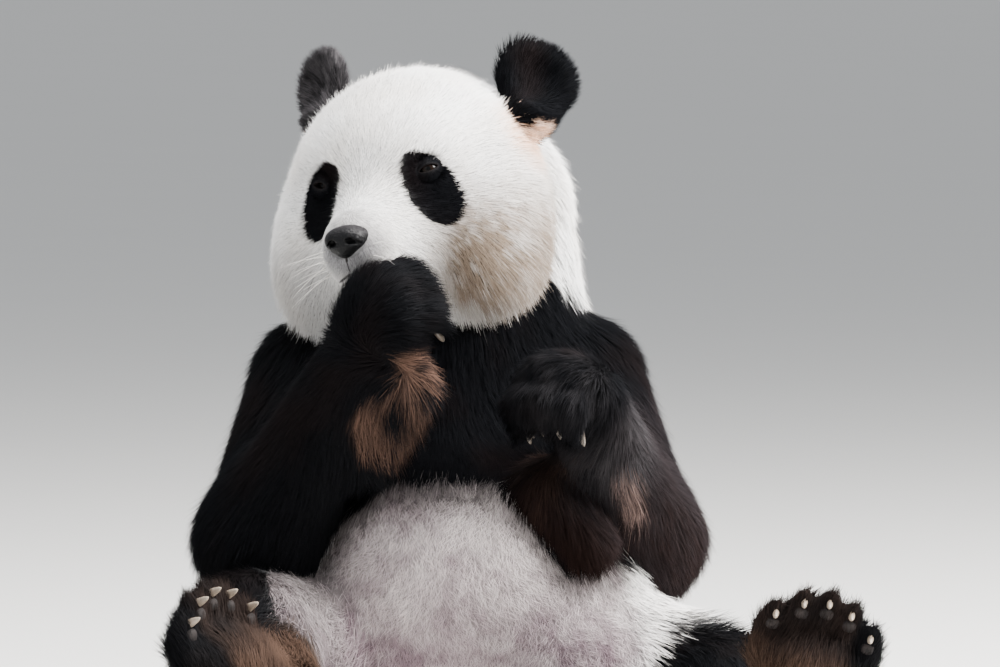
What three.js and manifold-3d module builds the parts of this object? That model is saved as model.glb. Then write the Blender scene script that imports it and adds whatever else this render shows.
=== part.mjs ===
// Giant panda, an adult that sits on the floor with its back bent, its head turned
// and both forepaws raised, as a still model at life size.
//
// Millimetres, +Z up. The floor is z = 0. The panda faces -Y and its left side is +X.
// The body is a few smoothly joined masses (bars and eggs), measured to the tips of
// the coat. Each mass is netted into a closed surface and parted with thin cuts.

import * as THREE from "three";
import Module from "manifold-3d";
import { mergeVertices } from "three/addons/utils/BufferGeometryUtils.js";

const wasm = await Module();
wasm.setup();

const v = (x, y, z) => new THREE.Vector3(x, y, z);

// ---------- driving dimensions ----------

const SEAM = 1.2; // width of the cuts between neighbouring parts
const SLIVER = 0.15; // triangles thinner than this are merged into their neighbours
const CELL = { head: 40, muzzle: 24, nose: 14, ear: 18, trunk: 66, limb: 50, paw: 27, tail: 27 };

const HEAD = {
  centre: v(-44, 100, 637),
  yaw: 25, // degrees towards the panda's right
  roll: 5, // left ear up
  faceRoll: 9, // the face tilts a little further than the ears
  halfWidth: 160,
  halfLength: 150,
  halfHeight: 149,
  midline: 7, // the face sits this far towards the left ear
  muzzleFront: 160,
  ears: { right: v(-130, -58, 137), left: v(139, -58, 123) },
  earHalf: v(53, 21, 48), // across, thick, tall
  eyeMidline: 12,
  eyeSpread: 63,
  eyeAhead: 101,
  eyeUp: 26.5,
  eyeball: 12,
  muzzleRoot: 134, // the cut between head and muzzle, ahead of the centre
  mouthUp: -84, // the cut along the lips
  cheeks: [
    { at: v(-80, 6, -58), half: v(101, 106, 116) },
    { at: v(68, 6, -52), half: v(100, 106, 106) },
  ],
};

const NECK = { low: v(5, 185, 430), high: v(8, 178, 620), lowRadius: 162, highRadius: 132 };

const TRUNK = {
  chest: { centre: v(0, 165, 372), half: v(188, 168, 150) },
  back: { centre: v(14, 228, 300), half: v(196, 176, 165) },
  hump: { centre: v(5, 235, 420), half: v(165, 120, 120) },
  belly: { centre: v(18, 95, 222), half: v(228, 200, 190) },
  rump: { centre: v(28, 215, 160), half: v(222, 222, 172) },
  groin: { centre: v(165, 5, 118), half: v(120, 125, 82) },
};

const CUTS = {
  neck: { point: v(0, 180, 500), normal: v(-0.1, -0.25, 1) },
  chest: { point: v(0, 110, 325), normal: v(0, -0.08, 1) },
  rump: { point: v(0, 120, 150), normal: v(0, -0.75, 0.66) },
};

const TAIL = { root: v(30, 400, 75), tip: v(38, 440, 42), rootRadius: 48, tipRadius: 38 };

// One entry for each side: joints from shoulder or hip outwards, with their radii.
const ARMS = {
  right: {
    root: { point: v(-95, 155, 412), normal: v(-1, -0.35, 0) },
    shoulder: v(-130, 155, 412),
    elbow: v(-214, -15, 262),
    wrist: v(-80, -112, 488),
    radii: [110, 70, 54],
    fringe: { from: v(-48, -106, 440), to: v(-88, -72, 364), radii: [42, 39] },
    hand: { along: v(0.22, -0.3, 0.92), palm: v(0.84, 0.5, -0.05) },
  },
  left: {
    root: { point: v(95, 165, 418), normal: v(1, -0.35, 0) },
    shoulder: v(128, 165, 418),
    elbow: v(222, 66, 256),
    wrist: v(152, -103, 415),
    radii: [102, 63, 50],
    fringe: { from: v(108, -50, 322), to: v(150, -56, 268), radii: [46, 42] },
    hand: { along: v(-0.66, -0.57, 0.46), palm: v(-0.25, -0.25, -0.93) },
  },
};

const LEGS = {
  right: {
    root: { point: v(-100, 110, 116), normal: v(-0.5, -0.86, 0) },
    hip: v(-92, 125, 114),
    knee: v(-222, -115, 150),
    ankle: v(-188, -312, 82),
    radii: [122, 82, 60],
    foot: { heel: v(-196, -352, 46), toes: v(-0.35, 0.15, 0.92), sole: v(0.74, -0.55, 0.4) },
  },
  left: {
    root: { point: v(125, 100, 116), normal: v(0.6, -0.8, 0) },
    hip: v(118, 115, 114),
    knee: v(318, -92, 76),
    ankle: v(350, -318, 60),
    radii: [122, 80, 60],
    foot: { heel: v(356, -362, 47), toes: v(0.26, -0.22, 0.94), sole: v(-0.05, -0.97, -0.2) },
  },
};

const HAND = {
  palmLength: 62,
  palmHalf: v(56, 54, 44), // across, along, thick
  digitSpacing: 22,
  digitRadii: [21, 18, 15],
  arch: 0.09, // how far the outer digits are set back
  bones: [32, 24],
  curl: [62, 122], // degrees from the palm's line
  clawLength: 30,
  clawRadius: 5.5,
  clawTurn: 150,
};

const FOOT = {
  heelRadius: 54,
  length: 142, // heel to the roots of the toes
  ballHalf: v(66, 46, 38),
  digitSpacing: 26,
  digitRadii: [24, 21, 17],
  arch: 0.045,
  bones: [30, 22],
  curl: [-8, 30],
  clawLength: 30,
  clawRadius: 5.5,
  clawTurn: 85,
};

const DIGITS = [-2, -1, 0, 1, 2];

// ---------- shapes as distance functions ----------

// A frame with its own origin and unit axes; point() and eggs are given along them.
class Frame {
  constructor(origin, x, y, z) {
    Object.assign(this, { origin, x, y, z });
  }

  point(a, b, c) {
    return this.origin
      .clone()
      .addScaledVector(this.x, a)
      .addScaledVector(this.y, b)
      .addScaledVector(this.z, c);
  }

  direction(a, b, c) {
    return this.point(a, b, c).sub(this.origin).normalize();
  }
}

const WORLD = new Frame(v(0, 0, 0), v(1, 0, 0), v(0, 1, 0), v(0, 0, 1));

const ballBox = (p, r) => new THREE.Box3(p.clone().subScalar(r), p.clone().addScalar(r));

// A ball carried from a to b while its radius goes from ra to rb.
function bar(a, b, ra, rb) {
  const along = b.clone().sub(a);
  const lengthSquared = along.lengthSq();
  const distance = (x, y, z) => {
    const px = x - a.x;
    const py = y - a.y;
    const pz = z - a.z;
    const t = Math.min(1, Math.max(0, (px * along.x + py * along.y + pz * along.z) / lengthSquared));
    const away = Math.hypot(px - t * along.x, py - t * along.y, pz - t * along.z);
    return away - (ra + t * (rb - ra));
  };
  return { distance, box: ballBox(a, ra).union(ballBox(b, rb)) };
}

// An ellipsoid with half-sizes along the axes of a frame.
function egg(centre, half, frame = WORLD) {
  const c = frame.point(centre.x, centre.y, centre.z);
  const distance = (x, y, z) => {
    const p = v(x - c.x, y - c.y, z - c.z);
    const a = p.dot(frame.x) / half.x;
    const b = p.dot(frame.y) / half.y;
    const d = p.dot(frame.z) / half.z;
    const scaled = Math.hypot(a, b, d);
    const slope = Math.hypot(a / half.x, b / half.y, d / half.z);
    return slope < 1e-9 ? -Math.min(half.x, half.y, half.z) : (scaled * (scaled - 1)) / slope;
  };
  return { distance, box: ballBox(c, Math.max(half.x, half.y, half.z)) };
}

// Shapes run into each other with a fillet of about the given softness.
function joined(softness, shapes) {
  const soft = (a, b) => {
    const h = Math.max(softness - Math.abs(a - b), 0) / softness;
    return Math.min(a, b) - (h * h * softness) / 4;
  };
  const distance = (x, y, z) => shapes.map((s) => s.distance(x, y, z)).reduce(soft);
  const box = shapes.reduce((all, s) => all.union(s.box), new THREE.Box3());
  return { distance, box };
}

// The first shape with the second one scooped out of it, with a rounded rim.
function scooped(softness, shape, hollow) {
  const distance = (x, y, z) => {
    const kept = shape.distance(x, y, z);
    const cut = -hollow.distance(x, y, z);
    const h = Math.max(softness - Math.abs(kept - cut), 0) / softness;
    return Math.max(kept, cut) + (h * h * softness) / 4;
  };
  return { distance, box: shape.box };
}

function slopeAt(shape, p) {
  const e = 0.5;
  const across = (dx, dy, dz) =>
    (shape.distance(p.x + dx, p.y + dy, p.z + dz) - shape.distance(p.x - dx, p.y - dy, p.z - dz)) /
    (2 * e);
  return v(across(e, 0, 0), across(0, e, 0), across(0, 0, e));
}

// ---------- netting a shape into a closed surface ----------

// The corners of a unit cell, and its twelve edges as pairs of corners that differ
// in one bit.
const CORNERS = [...Array(8).keys()].map((i) => [i & 1, (i >> 1) & 1, (i >> 2) & 1]);
const EDGES = CORNERS.flatMap((_, i) => [1, 2, 4].filter((bit) => !(i & bit)).map((bit) => [i, i | bit]));

// Samples the distance on a grid of the given cell, puts one vertex in each cell that
// the surface passes through, pulls it onto the surface, and lays a quad across each
// grid edge that the surface crosses.
function netted(shape, cell) {
  const low = shape.box.min.clone().subScalar(2.3 * cell);
  const size = shape.box.max.clone().addScalar(2.3 * cell).sub(low);
  const n = size.toArray().map((s) => Math.ceil(s / cell) + 1);
  const slot = (i, j, k) => (k * n[1] + j) * n[0] + i;
  const value = new Float32Array(n[0] * n[1] * n[2]);
  const eachCell = (reach, visit) => {
    for (let k = 0; k < n[2] - reach; k++) {
      for (let j = 0; j < n[1] - reach; j++) {
        for (let i = 0; i < n[0] - reach; i++) visit(i, j, k);
      }
    }
  };
  eachCell(0, (i, j, k) => {
    value[slot(i, j, k)] = shape.distance(low.x + i * cell, low.y + j * cell, low.z + k * cell);
  });

  const vertexOf = new Int32Array(value.length).fill(-1);
  const points = [];
  eachCell(1, (i, j, k) => {
    const at = CORNERS.map(([a, b, c]) => value[slot(i + a, j + b, k + c)]);
    const crossings = EDGES.filter(([a, b]) => at[a] < 0 !== at[b] < 0);
    if (!crossings.length) return;
    const mean = v(0, 0, 0);
    for (const [a, b] of crossings) {
      const t = at[a] / (at[a] - at[b]);
      mean.x += CORNERS[a][0] + t * (CORNERS[b][0] - CORNERS[a][0]);
      mean.y += CORNERS[a][1] + t * (CORNERS[b][1] - CORNERS[a][1]);
      mean.z += CORNERS[a][2] + t * (CORNERS[b][2] - CORNERS[a][2]);
    }
    mean.divideScalar(crossings.length).add(v(i, j, k)).multiplyScalar(cell).add(low);
    vertexOf[slot(i, j, k)] = points.length;
    points.push(onto(shape, mean, cell));
  });

  const faces = [];
  const steps = [
    [1, 0, 0],
    [0, 1, 0],
    [0, 0, 1],
  ];
  eachCell(1, (i, j, k) => {
    const here = value[slot(i, j, k)] < 0;
    steps.forEach((step, axis) => {
      const there = value[slot(i + step[0], j + step[1], k + step[2])] < 0;
      if (here === there) return;
      const [p, q] = [steps[(axis + 1) % 3], steps[(axis + 2) % 3]];
      const ring = [
        [0, 0],
        [1, 0],
        [1, 1],
        [0, 1],
      ].map(([a, b]) => vertexOf[slot(...[i, j, k].map((c, d) => c - a * p[d] - b * q[d]))]);
      if (!here) ring.reverse();
      faces.push(...quad(points, ring));
    });
  });
  return { points, faces };
}

// Walks a point down the distance's slope until it lies on the surface.
function onto(shape, start, cell) {
  const p = start.clone();
  for (let step = 0; step < 4; step++) {
    const slope = slopeAt(shape, p);
    const drop = shape.distance(p.x, p.y, p.z) / Math.max(slope.lengthSq(), 0.2);
    p.addScaledVector(slope, -THREE.MathUtils.clamp(drop, -cell / 3, cell / 3));
  }
  return p;
}

// Two triangles, split along the quad's shorter diagonal.
function quad(points, [a, b, c, d]) {
  const short = points[a].distanceTo(points[c]) < points[b].distanceTo(points[d]);
  return short ? [a, b, c, a, c, d] : [a, b, d, b, c, d];
}

// ---------- solids ----------

function solidFrom(points, faces) {
  return new wasm.Manifold(
    new wasm.Mesh({
      numProp: 3,
      vertProperties: new Float32Array(points.flatMap((p) => p.toArray())),
      triVerts: new Uint32Array(faces),
    }),
  );
}

// A closed three.js geometry as a solid, placed by a matrix.
function solidOf(geometry, matrix = new THREE.Matrix4()) {
  const bare = geometry.clone().applyMatrix4(matrix);
  bare.deleteAttribute("normal");
  bare.deleteAttribute("uv");
  const merged = mergeVertices(bare, 1e-3);
  return new wasm.Manifold(
    new wasm.Mesh({
      numProp: 3,
      vertProperties: merged.attributes.position.array,
      triVerts: new Uint32Array(merged.index.array),
    }),
  );
}

// A netted shape as a solid, and the same one swollen by the seam's width, which is
// what its neighbours are cut with.
function massOf(shape, cell) {
  const { points, faces } = netted(shape, cell);
  const swollen = points.map((p) =>
    p.clone().addScaledVector(slopeAt(shape, p).normalize(), SEAM),
  );
  return { solid: solidFrom(points, faces), cutter: solidFrom(swollen, faces) };
}

const BLOCK = 3000;

// The half of space on the far side of a plane, as one large block.
function beyond(point, normal, clearance = SEAM / 2) {
  const n = normal.clone().normalize();
  const turn = new THREE.Quaternion().setFromUnitVectors(v(0, 0, 1), n);
  const middle = point.clone().addScaledVector(n, BLOCK / 2 + clearance);
  const matrix = new THREE.Matrix4().compose(middle, turn, v(1, 1, 1));
  return solidOf(new THREE.BoxGeometry(BLOCK, BLOCK, BLOCK), matrix);
}

// The two sides of a thin plane cut: [before the plane, beyond it].
function parted(solid, point, normal) {
  return [
    solid.intersect(beyond(point, normal.clone().negate())),
    solid.intersect(beyond(point, normal)),
  ];
}

// The largest body of a solid, without the crumbs and slivers that a cut can leave.
function mainBody(solid) {
  const largest = solid.decompose().reduce((a, b) => (a.volume() > b.volume() ? a : b));
  return largest.simplify(SLIVER);
}

// ---------- the head ----------

function headFrame(roll) {
  const turn = new THREE.Quaternion()
    .setFromAxisAngle(v(0, 0, 1), THREE.MathUtils.degToRad(-HEAD.yaw))
    .multiply(
      new THREE.Quaternion().setFromAxisAngle(v(0, 1, 0), THREE.MathUtils.degToRad(-roll)),
    );
  const axis = (x, y, z) => v(x, y, z).applyQuaternion(turn);
  return new Frame(HEAD.centre, axis(1, 0, 0), axis(0, -1, 0), axis(0, 0, 1));
}

const HEAD_FRAME = headFrame(HEAD.roll);
const FACE_FRAME = headFrame(HEAD.faceRoll);

function skullShape() {
  const at = (a, b, c) => FACE_FRAME.point(a, b, c);
  const cranium = egg(
    v(0, -18, 6),
    v(HEAD.halfWidth - 8, HEAD.halfLength, HEAD.halfHeight),
    HEAD_FRAME,
  );
  const cheeks = HEAD.cheeks.map((cheek) => egg(cheek.at, cheek.half, FACE_FRAME));
  const m = HEAD.midline;
  const brow = egg(v(m, 62, 38), v(96, 62, 66), FACE_FRAME);
  const muzzle = bar(at(m, 78, -44), at(m, HEAD.muzzleFront, -54), 66, 46);
  const bridge = bar(at(m, 92, 2), at(m, HEAD.muzzleFront, -38), 34, 27);
  const chin = bar(at(m, 66, -92), at(m, HEAD.muzzleFront - 24, -92), 42, 26);
  return joined(34, [cranium, ...cheeks, brow, muzzle, bridge, chin]);
}

// A rounded cup on a short stalk, hollow towards its own front.
function earShape(side) {
  const facing = THREE.MathUtils.degToRad(32) * SIDES[side];
  const lean = THREE.MathUtils.degToRad(42) * SIDES[side];
  const ahead = HEAD_FRAME.direction(Math.sin(facing), Math.cos(facing), 0.1);
  const up = HEAD_FRAME.direction(Math.sin(lean), 0, Math.cos(lean));
  const across = new THREE.Vector3().crossVectors(ahead, up).normalize();
  const frame = new Frame(
    HEAD_FRAME.point(...HEAD.ears[side].toArray()),
    across,
    ahead,
    new THREE.Vector3().crossVectors(across, ahead),
  );
  const shell = egg(v(0, 0, 0), HEAD.earHalf, frame);
  const root = SIDES[side] * -12;
  const stalk = bar(frame.point(root, -4, -34), frame.point(0, -4, -8), 38, 26);
  const hollow = egg(v(0, 24, 4), v(HEAD.earHalf.x * 0.66, 20, HEAD.earHalf.z * 0.68), frame);
  return scooped(10, joined(14, [shell, stalk]), hollow);
}

function ballSolid(centre, radius) {
  const matrix = new THREE.Matrix4().setPosition(centre);
  return solidOf(new THREE.IcosahedronGeometry(radius, 1), matrix);
}

// The gap between the lids: a well that widens from the eye out to the coat's surface.
function lidWell(centre, sign) {
  const look = FACE_FRAME.direction(sign * 0.36, 0.92, 0.06);
  const turn = new THREE.Quaternion().setFromUnitVectors(v(0, 1, 0), look);
  const middle = centre.clone().addScaledVector(look, 24);
  const matrix = new THREE.Matrix4().compose(middle, turn, v(1, 1, 1));
  return solidOf(new THREE.CylinderGeometry(17, 9, 38, 8), matrix);
}

// The bare nose: broad above, with a cleft below, set into the front of the muzzle.
function noseShape() {
  const front = HEAD.muzzleFront;
  const top = egg(v(HEAD.midline, front + 32, -37), v(26, 20, 14), FACE_FRAME);
  const foot = egg(v(HEAD.midline, front + 32, -49), v(15, 19, 13), FACE_FRAME);
  return joined(8, [top, foot]);
}

// ---------- paws ----------

// A frame at the root of a paw: x across, y along it, z out of the palm or sole.
function pawFrame(root, along, palm) {
  const y = along.clone().normalize();
  const z = palm.clone().addScaledVector(y, -palm.dot(y)).normalize();
  return new Frame(root, new THREE.Vector3().crossVectors(y, z), y, z);
}

const bent = (frame, degrees) => {
  const angle = THREE.MathUtils.degToRad(degrees);
  return frame.direction(0, Math.cos(angle), Math.sin(angle));
};

// The joints of one digit, which bends towards the palm, and its claw's direction.
function digitOf(frame, sizes, place, rootAlong) {
  const setBack = 1 - sizes.arch * place * place;
  const root = frame.point(place * sizes.digitSpacing, rootAlong * setBack, -4);
  const middle = root.clone().addScaledVector(bent(frame, sizes.curl[0]), sizes.bones[0]);
  const tip = middle.clone().addScaledVector(bent(frame, sizes.curl[1]), sizes.bones[1]);
  return { joints: [root, middle, tip], claw: bent(frame, sizes.clawTurn) };
}

function digitShapes({ joints: [root, middle, tip] }, [a, b, c]) {
  return [bar(root, middle, a, b), bar(middle, tip, b, c)];
}

// A claw is a cone of rings whose middle line bends on towards the palm. It starts
// inside the digit; grow makes the slightly larger one that its socket is cut with.
function clawSolid(frame, digit, sizes, grow = 0) {
  const rings = 3;
  const sides = 6;
  const hook = 5;
  const length = sizes.clawLength + grow;
  const deep = new THREE.Vector3().crossVectors(digit.claw, frame.x);
  const root = digit.joints[2].clone().addScaledVector(frame.z, -hook);
  const middleAt = (t) =>
    root
      .clone()
      .addScaledVector(digit.claw, t * length - (1 - t) * grow)
      .addScaledVector(frame.z, t * t * hook);
  const points = [];
  for (let r = 0; r < rings; r++) {
    const t = r / rings;
    const radius = sizes.clawRadius * (1 - 0.72 * t * t) + grow;
    for (let s = 0; s < sides; s++) {
      const angle = (2 * Math.PI * s) / sides;
      const across = 0.75 * radius * Math.cos(angle);
      const down = radius * Math.sin(angle);
      points.push(middleAt(t).addScaledVector(frame.x, across).addScaledVector(deep, down));
    }
  }
  const tip = points.push(middleAt(1)) - 1;
  const base = points.push(middleAt(0)) - 1;
  const faces = [];
  for (let s = 0; s < sides; s++) {
    const next = (s + 1) % sides;
    for (let r = 0; r < rings - 1; r++) {
      const [a, b] = [r * sides + s, r * sides + next];
      faces.push(a, a + sides, b, b, a + sides, b + sides);
    }
    faces.push((rings - 1) * sides + s, tip, (rings - 1) * sides + next, s, next, base);
  }
  const solid = solidFrom(points, faces);
  return solid.volume() > 0 ? solid : solidFrom(points, faces.reverse());
}

// The long hair that hangs from the inside of the forearm.
function fringeOf({ fringe }) {
  return bar(fringe.from, fringe.to, ...fringe.radii);
}

function handOf(arm) {
  const frame = pawFrame(arm.wrist, arm.hand.along, arm.hand.palm);
  const digits = DIGITS.map((place) => digitOf(frame, HAND, place, HAND.palmLength));
  const palm = egg(v(0, HAND.palmLength * 0.62, -4), HAND.palmHalf, frame);
  const shape = joined(9, [palm, ...digits.flatMap((d) => digitShapes(d, HAND.digitRadii))]);
  return { frame, digits, shape, sizes: HAND };
}

function footOf(leg) {
  const frame = pawFrame(leg.foot.heel, leg.foot.toes, leg.foot.sole);
  const digits = DIGITS.map((place) => digitOf(frame, FOOT, place, FOOT.length));
  const sole = bar(frame.point(0, 0, 0), frame.point(0, FOOT.length * 0.6, 0), FOOT.heelRadius, 52);
  const ball = egg(v(0, FOOT.length * 0.8, 0), FOOT.ballHalf, frame);
  const toes = digits.flatMap((d) => digitShapes(d, FOOT.digitRadii));
  return { frame, digits, shape: joined(9, [joined(30, [sole, ball]), ...toes]), sizes: FOOT };
}

// ---------- the trunk ----------

function trunkShape() {
  const masses = Object.values(TRUNK).map(({ centre, half }) => egg(centre, half));
  const neck = bar(NECK.low, NECK.high, NECK.lowRadius, NECK.highRadius);
  return joined(60, [...masses, neck]);
}

// ---------- finish ----------

const PAINT = {
  white: { color: 0xe9e6df, roughness: 0.9 },
  black: { color: 0x17161a, roughness: 0.85 },
  belly: { color: 0x8c8388, roughness: 0.95 },
  nose: { color: 0x121013, roughness: 0.35 },
  eye: { color: 0x1a0f0a, roughness: 0.08 },
  claw: { color: 0xb5a592, roughness: 0.45 },
};

const panda = new THREE.Group();

function add(name, solid, paint) {
  const { vertProperties, triVerts } = mainBody(solid).getMesh();
  const geometry = new THREE.BufferGeometry();
  geometry.setAttribute("position", new THREE.BufferAttribute(new Float32Array(vertProperties), 3));
  geometry.setIndex(new THREE.BufferAttribute(new Uint32Array(triVerts), 1));
  const mesh = new THREE.Mesh(geometry, new THREE.MeshStandardMaterial(PAINT[paint]));
  mesh.name = name;
  panda.add(mesh);
}

// ---------- the parts ----------

// Each mass is cut back by the ones added before it, so that nothing overlaps.
const ABOVE_FLOOR = beyond(v(0, 0, 0), v(0, 0, 1), 0);
const clearOf = (solid, cutters) => cutters.reduce((left, cutter) => left.subtract(cutter), solid);
const SIDES = { right: -1, left: 1 };

function addHead() {
  const skull = massOf(skullShape(), CELL.head);
  const snout = massOf(skullShape(), CELL.muzzle);
  const nose = massOf(noseShape(), CELL.nose);
  const face = FACE_FRAME.point(0, HEAD.muzzleRoot, 0);
  const lips = FACE_FRAME.point(0, HEAD.muzzleRoot, HEAD.mouthUp);
  let [cranium] = parted(skull.solid, face, FACE_FRAME.y);
  for (const [side, sign] of Object.entries(SIDES)) {
    const outwards = HEAD.eyeMidline + sign * HEAD.eyeSpread;
    const centre = FACE_FRAME.point(outwards, HEAD.eyeAhead, HEAD.eyeUp);
    cranium = cranium.subtract(ballSolid(centre, HEAD.eyeball + SEAM));
    cranium = cranium.subtract(lidWell(centre, sign));
    add(`eye_${side}`, ballSolid(centre, HEAD.eyeball), "eye");
    add(`ear_${side}`, massOf(earShape(side), CELL.ear).solid.subtract(skull.cutter), "black");
  }
  const front = parted(snout.solid.subtract(nose.cutter), face, FACE_FRAME.y)[1];
  const [jaw, muzzle] = parted(front, lips, FACE_FRAME.z);
  add("head", cranium, "white");
  add("muzzle", muzzle, "white");
  add("lower_jaw", jaw, "white");
  add("nose", nose.solid, "nose");
  const before = beyond(face, FACE_FRAME.y.clone().negate(), 0);
  const ahead = beyond(face, FACE_FRAME.y, 0);
  const rear = skull.cutter.intersect(before);
  return { skull: [rear], all: [rear, snout.cutter.intersect(ahead), nose.cutter] };
}

// A limb's long bones are netted coarsely and its paw finely; they meet in the plane
// of the wrist or ankle. Returns what cuts the limb's neighbours back.
function addLimb(root, joints, radii, extra, paw, names, taken) {
  const [top, middle, low] = joints;
  const lower = [bar(middle, low, radii[1], radii[2]), ...extra, paw.shape];
  const coarse = massOf(joined(36, [bar(top, middle, radii[0], radii[1]), ...lower]), CELL.limb);
  const fine = massOf(joined(36, lower), CELL.paw);
  const upperLine = middle.clone().sub(top).normalize();
  const lowerLine = low.clone().sub(middle).normalize();
  const wristNormal = lowerLine.clone().add(paw.frame.y);
  const outside = coarse.solid.intersect(beyond(root.point, root.normal));
  const solid = clearOf(outside, taken).intersect(ABOVE_FLOOR);
  const [upper, beyondElbow] = parted(solid, middle, upperLine.clone().add(lowerLine));
  add(names[0], upper, "black");
  add(names[1], parted(beyondElbow, low, wristNormal)[0], "black");

  let flesh = parted(fine.solid, low, wristNormal)[1];
  flesh = clearOf(flesh, taken).intersect(ABOVE_FLOOR);
  paw.digits.forEach((digit, i) => {
    flesh = flesh.subtract(clawSolid(paw.frame, digit, paw.sizes, SEAM));
    add(`${names[2]}_claw_${i + 1}`, clawSolid(paw.frame, digit, paw.sizes), "claw");
  });
  add(names[2], flesh, "black");
  return [coarse.cutter.intersect(beyond(root.point, root.normal, -SEAM / 2))];
}

function addArm(side, taken) {
  const arm = ARMS[side];
  const names = [`upper_arm_${side}`, `forearm_${side}`, `forepaw_${side}`];
  const joints = [arm.shoulder, arm.elbow, arm.wrist];
  return addLimb(arm.root, joints, arm.radii, [fringeOf(arm)], handOf(arm), names, taken);
}

function addLeg(side, taken) {
  const leg = LEGS[side];
  const names = [`thigh_${side}`, `shank_${side}`, `hind_foot_${side}`];
  const joints = [leg.hip, leg.knee, leg.ankle];
  return addLimb(leg.root, joints, leg.radii, [], footOf(leg), names, taken);
}

function addTrunk(taken) {
  const trunk = massOf(trunkShape(), CELL.trunk);
  const solid = clearOf(trunk.solid, taken).intersect(ABOVE_FLOOR);
  const [body, neck] = parted(solid, CUTS.neck.point, CUTS.neck.normal);
  const [lower, chest] = parted(body, CUTS.chest.point, CUTS.chest.normal);
  const [rump, belly] = parted(lower, CUTS.rump.point, CUTS.rump.normal);
  add("neck", neck, "white");
  add("chest", chest, "black");
  add("belly", belly, "belly");
  add("rump", rump, "white");
  return [trunk.cutter];
}

function addTail(taken) {
  const shape = bar(TAIL.root, TAIL.tip, TAIL.rootRadius, TAIL.tipRadius);
  add("tail", clearOf(massOf(shape, CELL.tail).solid, taken).intersect(ABOVE_FLOOR), "white");
}

const headCutters = addHead();
const armCutters = Object.keys(SIDES).flatMap((side) => addArm(side, headCutters.all));
const legCutters = Object.keys(SIDES).flatMap((side) => addLeg(side, armCutters));
const trunkCutters = addTrunk([...headCutters.skull, ...armCutters, ...legCutters]);
addTail(trunkCutters);

// The origin is moved to the middle of the footprint, on the floor.
const middle = new THREE.Box3().setFromObject(panda).getCenter(v(0, 0, 0));
panda.position.set(-middle.x, -middle.y, 0);

export default panda;
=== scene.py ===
"""Looks of a sitting giant panda: skin, coat of tufts, eyes, nose, lips, pads and claws.

Shapes are worked out in millimetres in the frame in which the solids were drawn, before
they were centred on their footprint. placed() moves them there and gives metres.
"""

from collections import namedtuple

import bpy
import numpy as np
from mathutils import Matrix, Vector


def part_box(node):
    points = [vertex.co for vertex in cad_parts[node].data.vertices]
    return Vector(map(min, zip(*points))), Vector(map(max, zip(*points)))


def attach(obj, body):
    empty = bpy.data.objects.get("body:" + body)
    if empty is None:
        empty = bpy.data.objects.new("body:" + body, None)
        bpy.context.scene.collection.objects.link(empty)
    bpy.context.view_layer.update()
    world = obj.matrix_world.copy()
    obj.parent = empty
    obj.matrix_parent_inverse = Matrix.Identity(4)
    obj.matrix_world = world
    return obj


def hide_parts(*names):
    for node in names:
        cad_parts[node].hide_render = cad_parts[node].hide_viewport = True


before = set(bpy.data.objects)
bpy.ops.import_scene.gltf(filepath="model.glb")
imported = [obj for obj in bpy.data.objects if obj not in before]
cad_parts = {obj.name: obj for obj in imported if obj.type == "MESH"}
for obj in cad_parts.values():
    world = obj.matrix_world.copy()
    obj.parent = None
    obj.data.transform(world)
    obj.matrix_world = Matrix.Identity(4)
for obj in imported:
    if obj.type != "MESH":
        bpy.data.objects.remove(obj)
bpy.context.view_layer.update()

chance = np.random.default_rng(11)
SIDES = ("right", "left")
MM = 1000  # in a metre


# ---------- small maths ----------


def vec(*numbers):
    return np.array(numbers, float)


def unit(v):
    """A vector, or each row of an array, divided by its length."""
    return v / np.maximum(np.linalg.norm(v, axis=-1, keepdims=True), 1e-9)


def smooth(low, high, value):
    """0 below low, 1 above high, and 3t^2 - 2t^3 between."""
    t = np.clip((value - low) / (high - low), 0, 1)
    return t * t * (3 - 2 * t)


def mixed(a, b, share):
    """Colours: a where share is 0, b where it is 1."""
    share = np.asarray(share)[:, None]
    return np.asarray(a) * (1 - share) + np.asarray(b) * share


# Primes that turn the three numbers of a lattice cell into one.
SCRAMBLE = (73856093, 19349663, 83492791)


def noise(points, size, seed):
    """Smooth random values from -1 to 1: random numbers on a lattice of the given size,
    blended over each cell by 3t^2 - 2t^3."""
    table = np.random.default_rng(seed).random(4096) * 2 - 1
    at = points / size
    cell = np.floor(at).astype(np.int64)
    t = at - cell
    t = t * t * (3 - 2 * t)
    total = 0
    for step in np.ndindex(2, 2, 2):
        key = (cell + step) * SCRAMBLE
        corner = np.where(step, t, 1 - t).prod(axis=1)
        total = total + corner * table[(key[:, 0] ^ key[:, 1] ^ key[:, 2]) & 4095]
    return total


def angles(columns):
    """Even angles round a circle."""
    return np.linspace(0, 2 * np.pi, columns, endpoint=False)


class Axes:
    """An origin and three unit axes; point(a, b, c) = origin + a x + b y + c z."""

    def __init__(self, origin, x, y, z):
        self.origin = np.array(origin, float)
        self.rows = np.array([x, y, z], float)

    def point(self, a, b, c):
        return self.origin + vec(a, b, c) @ self.rows

    def direction(self, a, b, c):
        return unit(vec(a, b, c) @ self.rows)

    def coords(self, points):
        return (points - self.origin) @ self.rows.T

    def mapped(self, local):
        """The points whose coords are the rows of local."""
        return self.origin + local @ self.rows


WORLD = Axes((0, 0, 0), (1, 0, 0), (0, 1, 0), (0, 0, 1))


# ---------- shapes as distance functions of x, y and z ----------


# A distance function, negative inside, and the box that holds its surface.
Shape = namedtuple("Shape", "distance low high")


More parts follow.
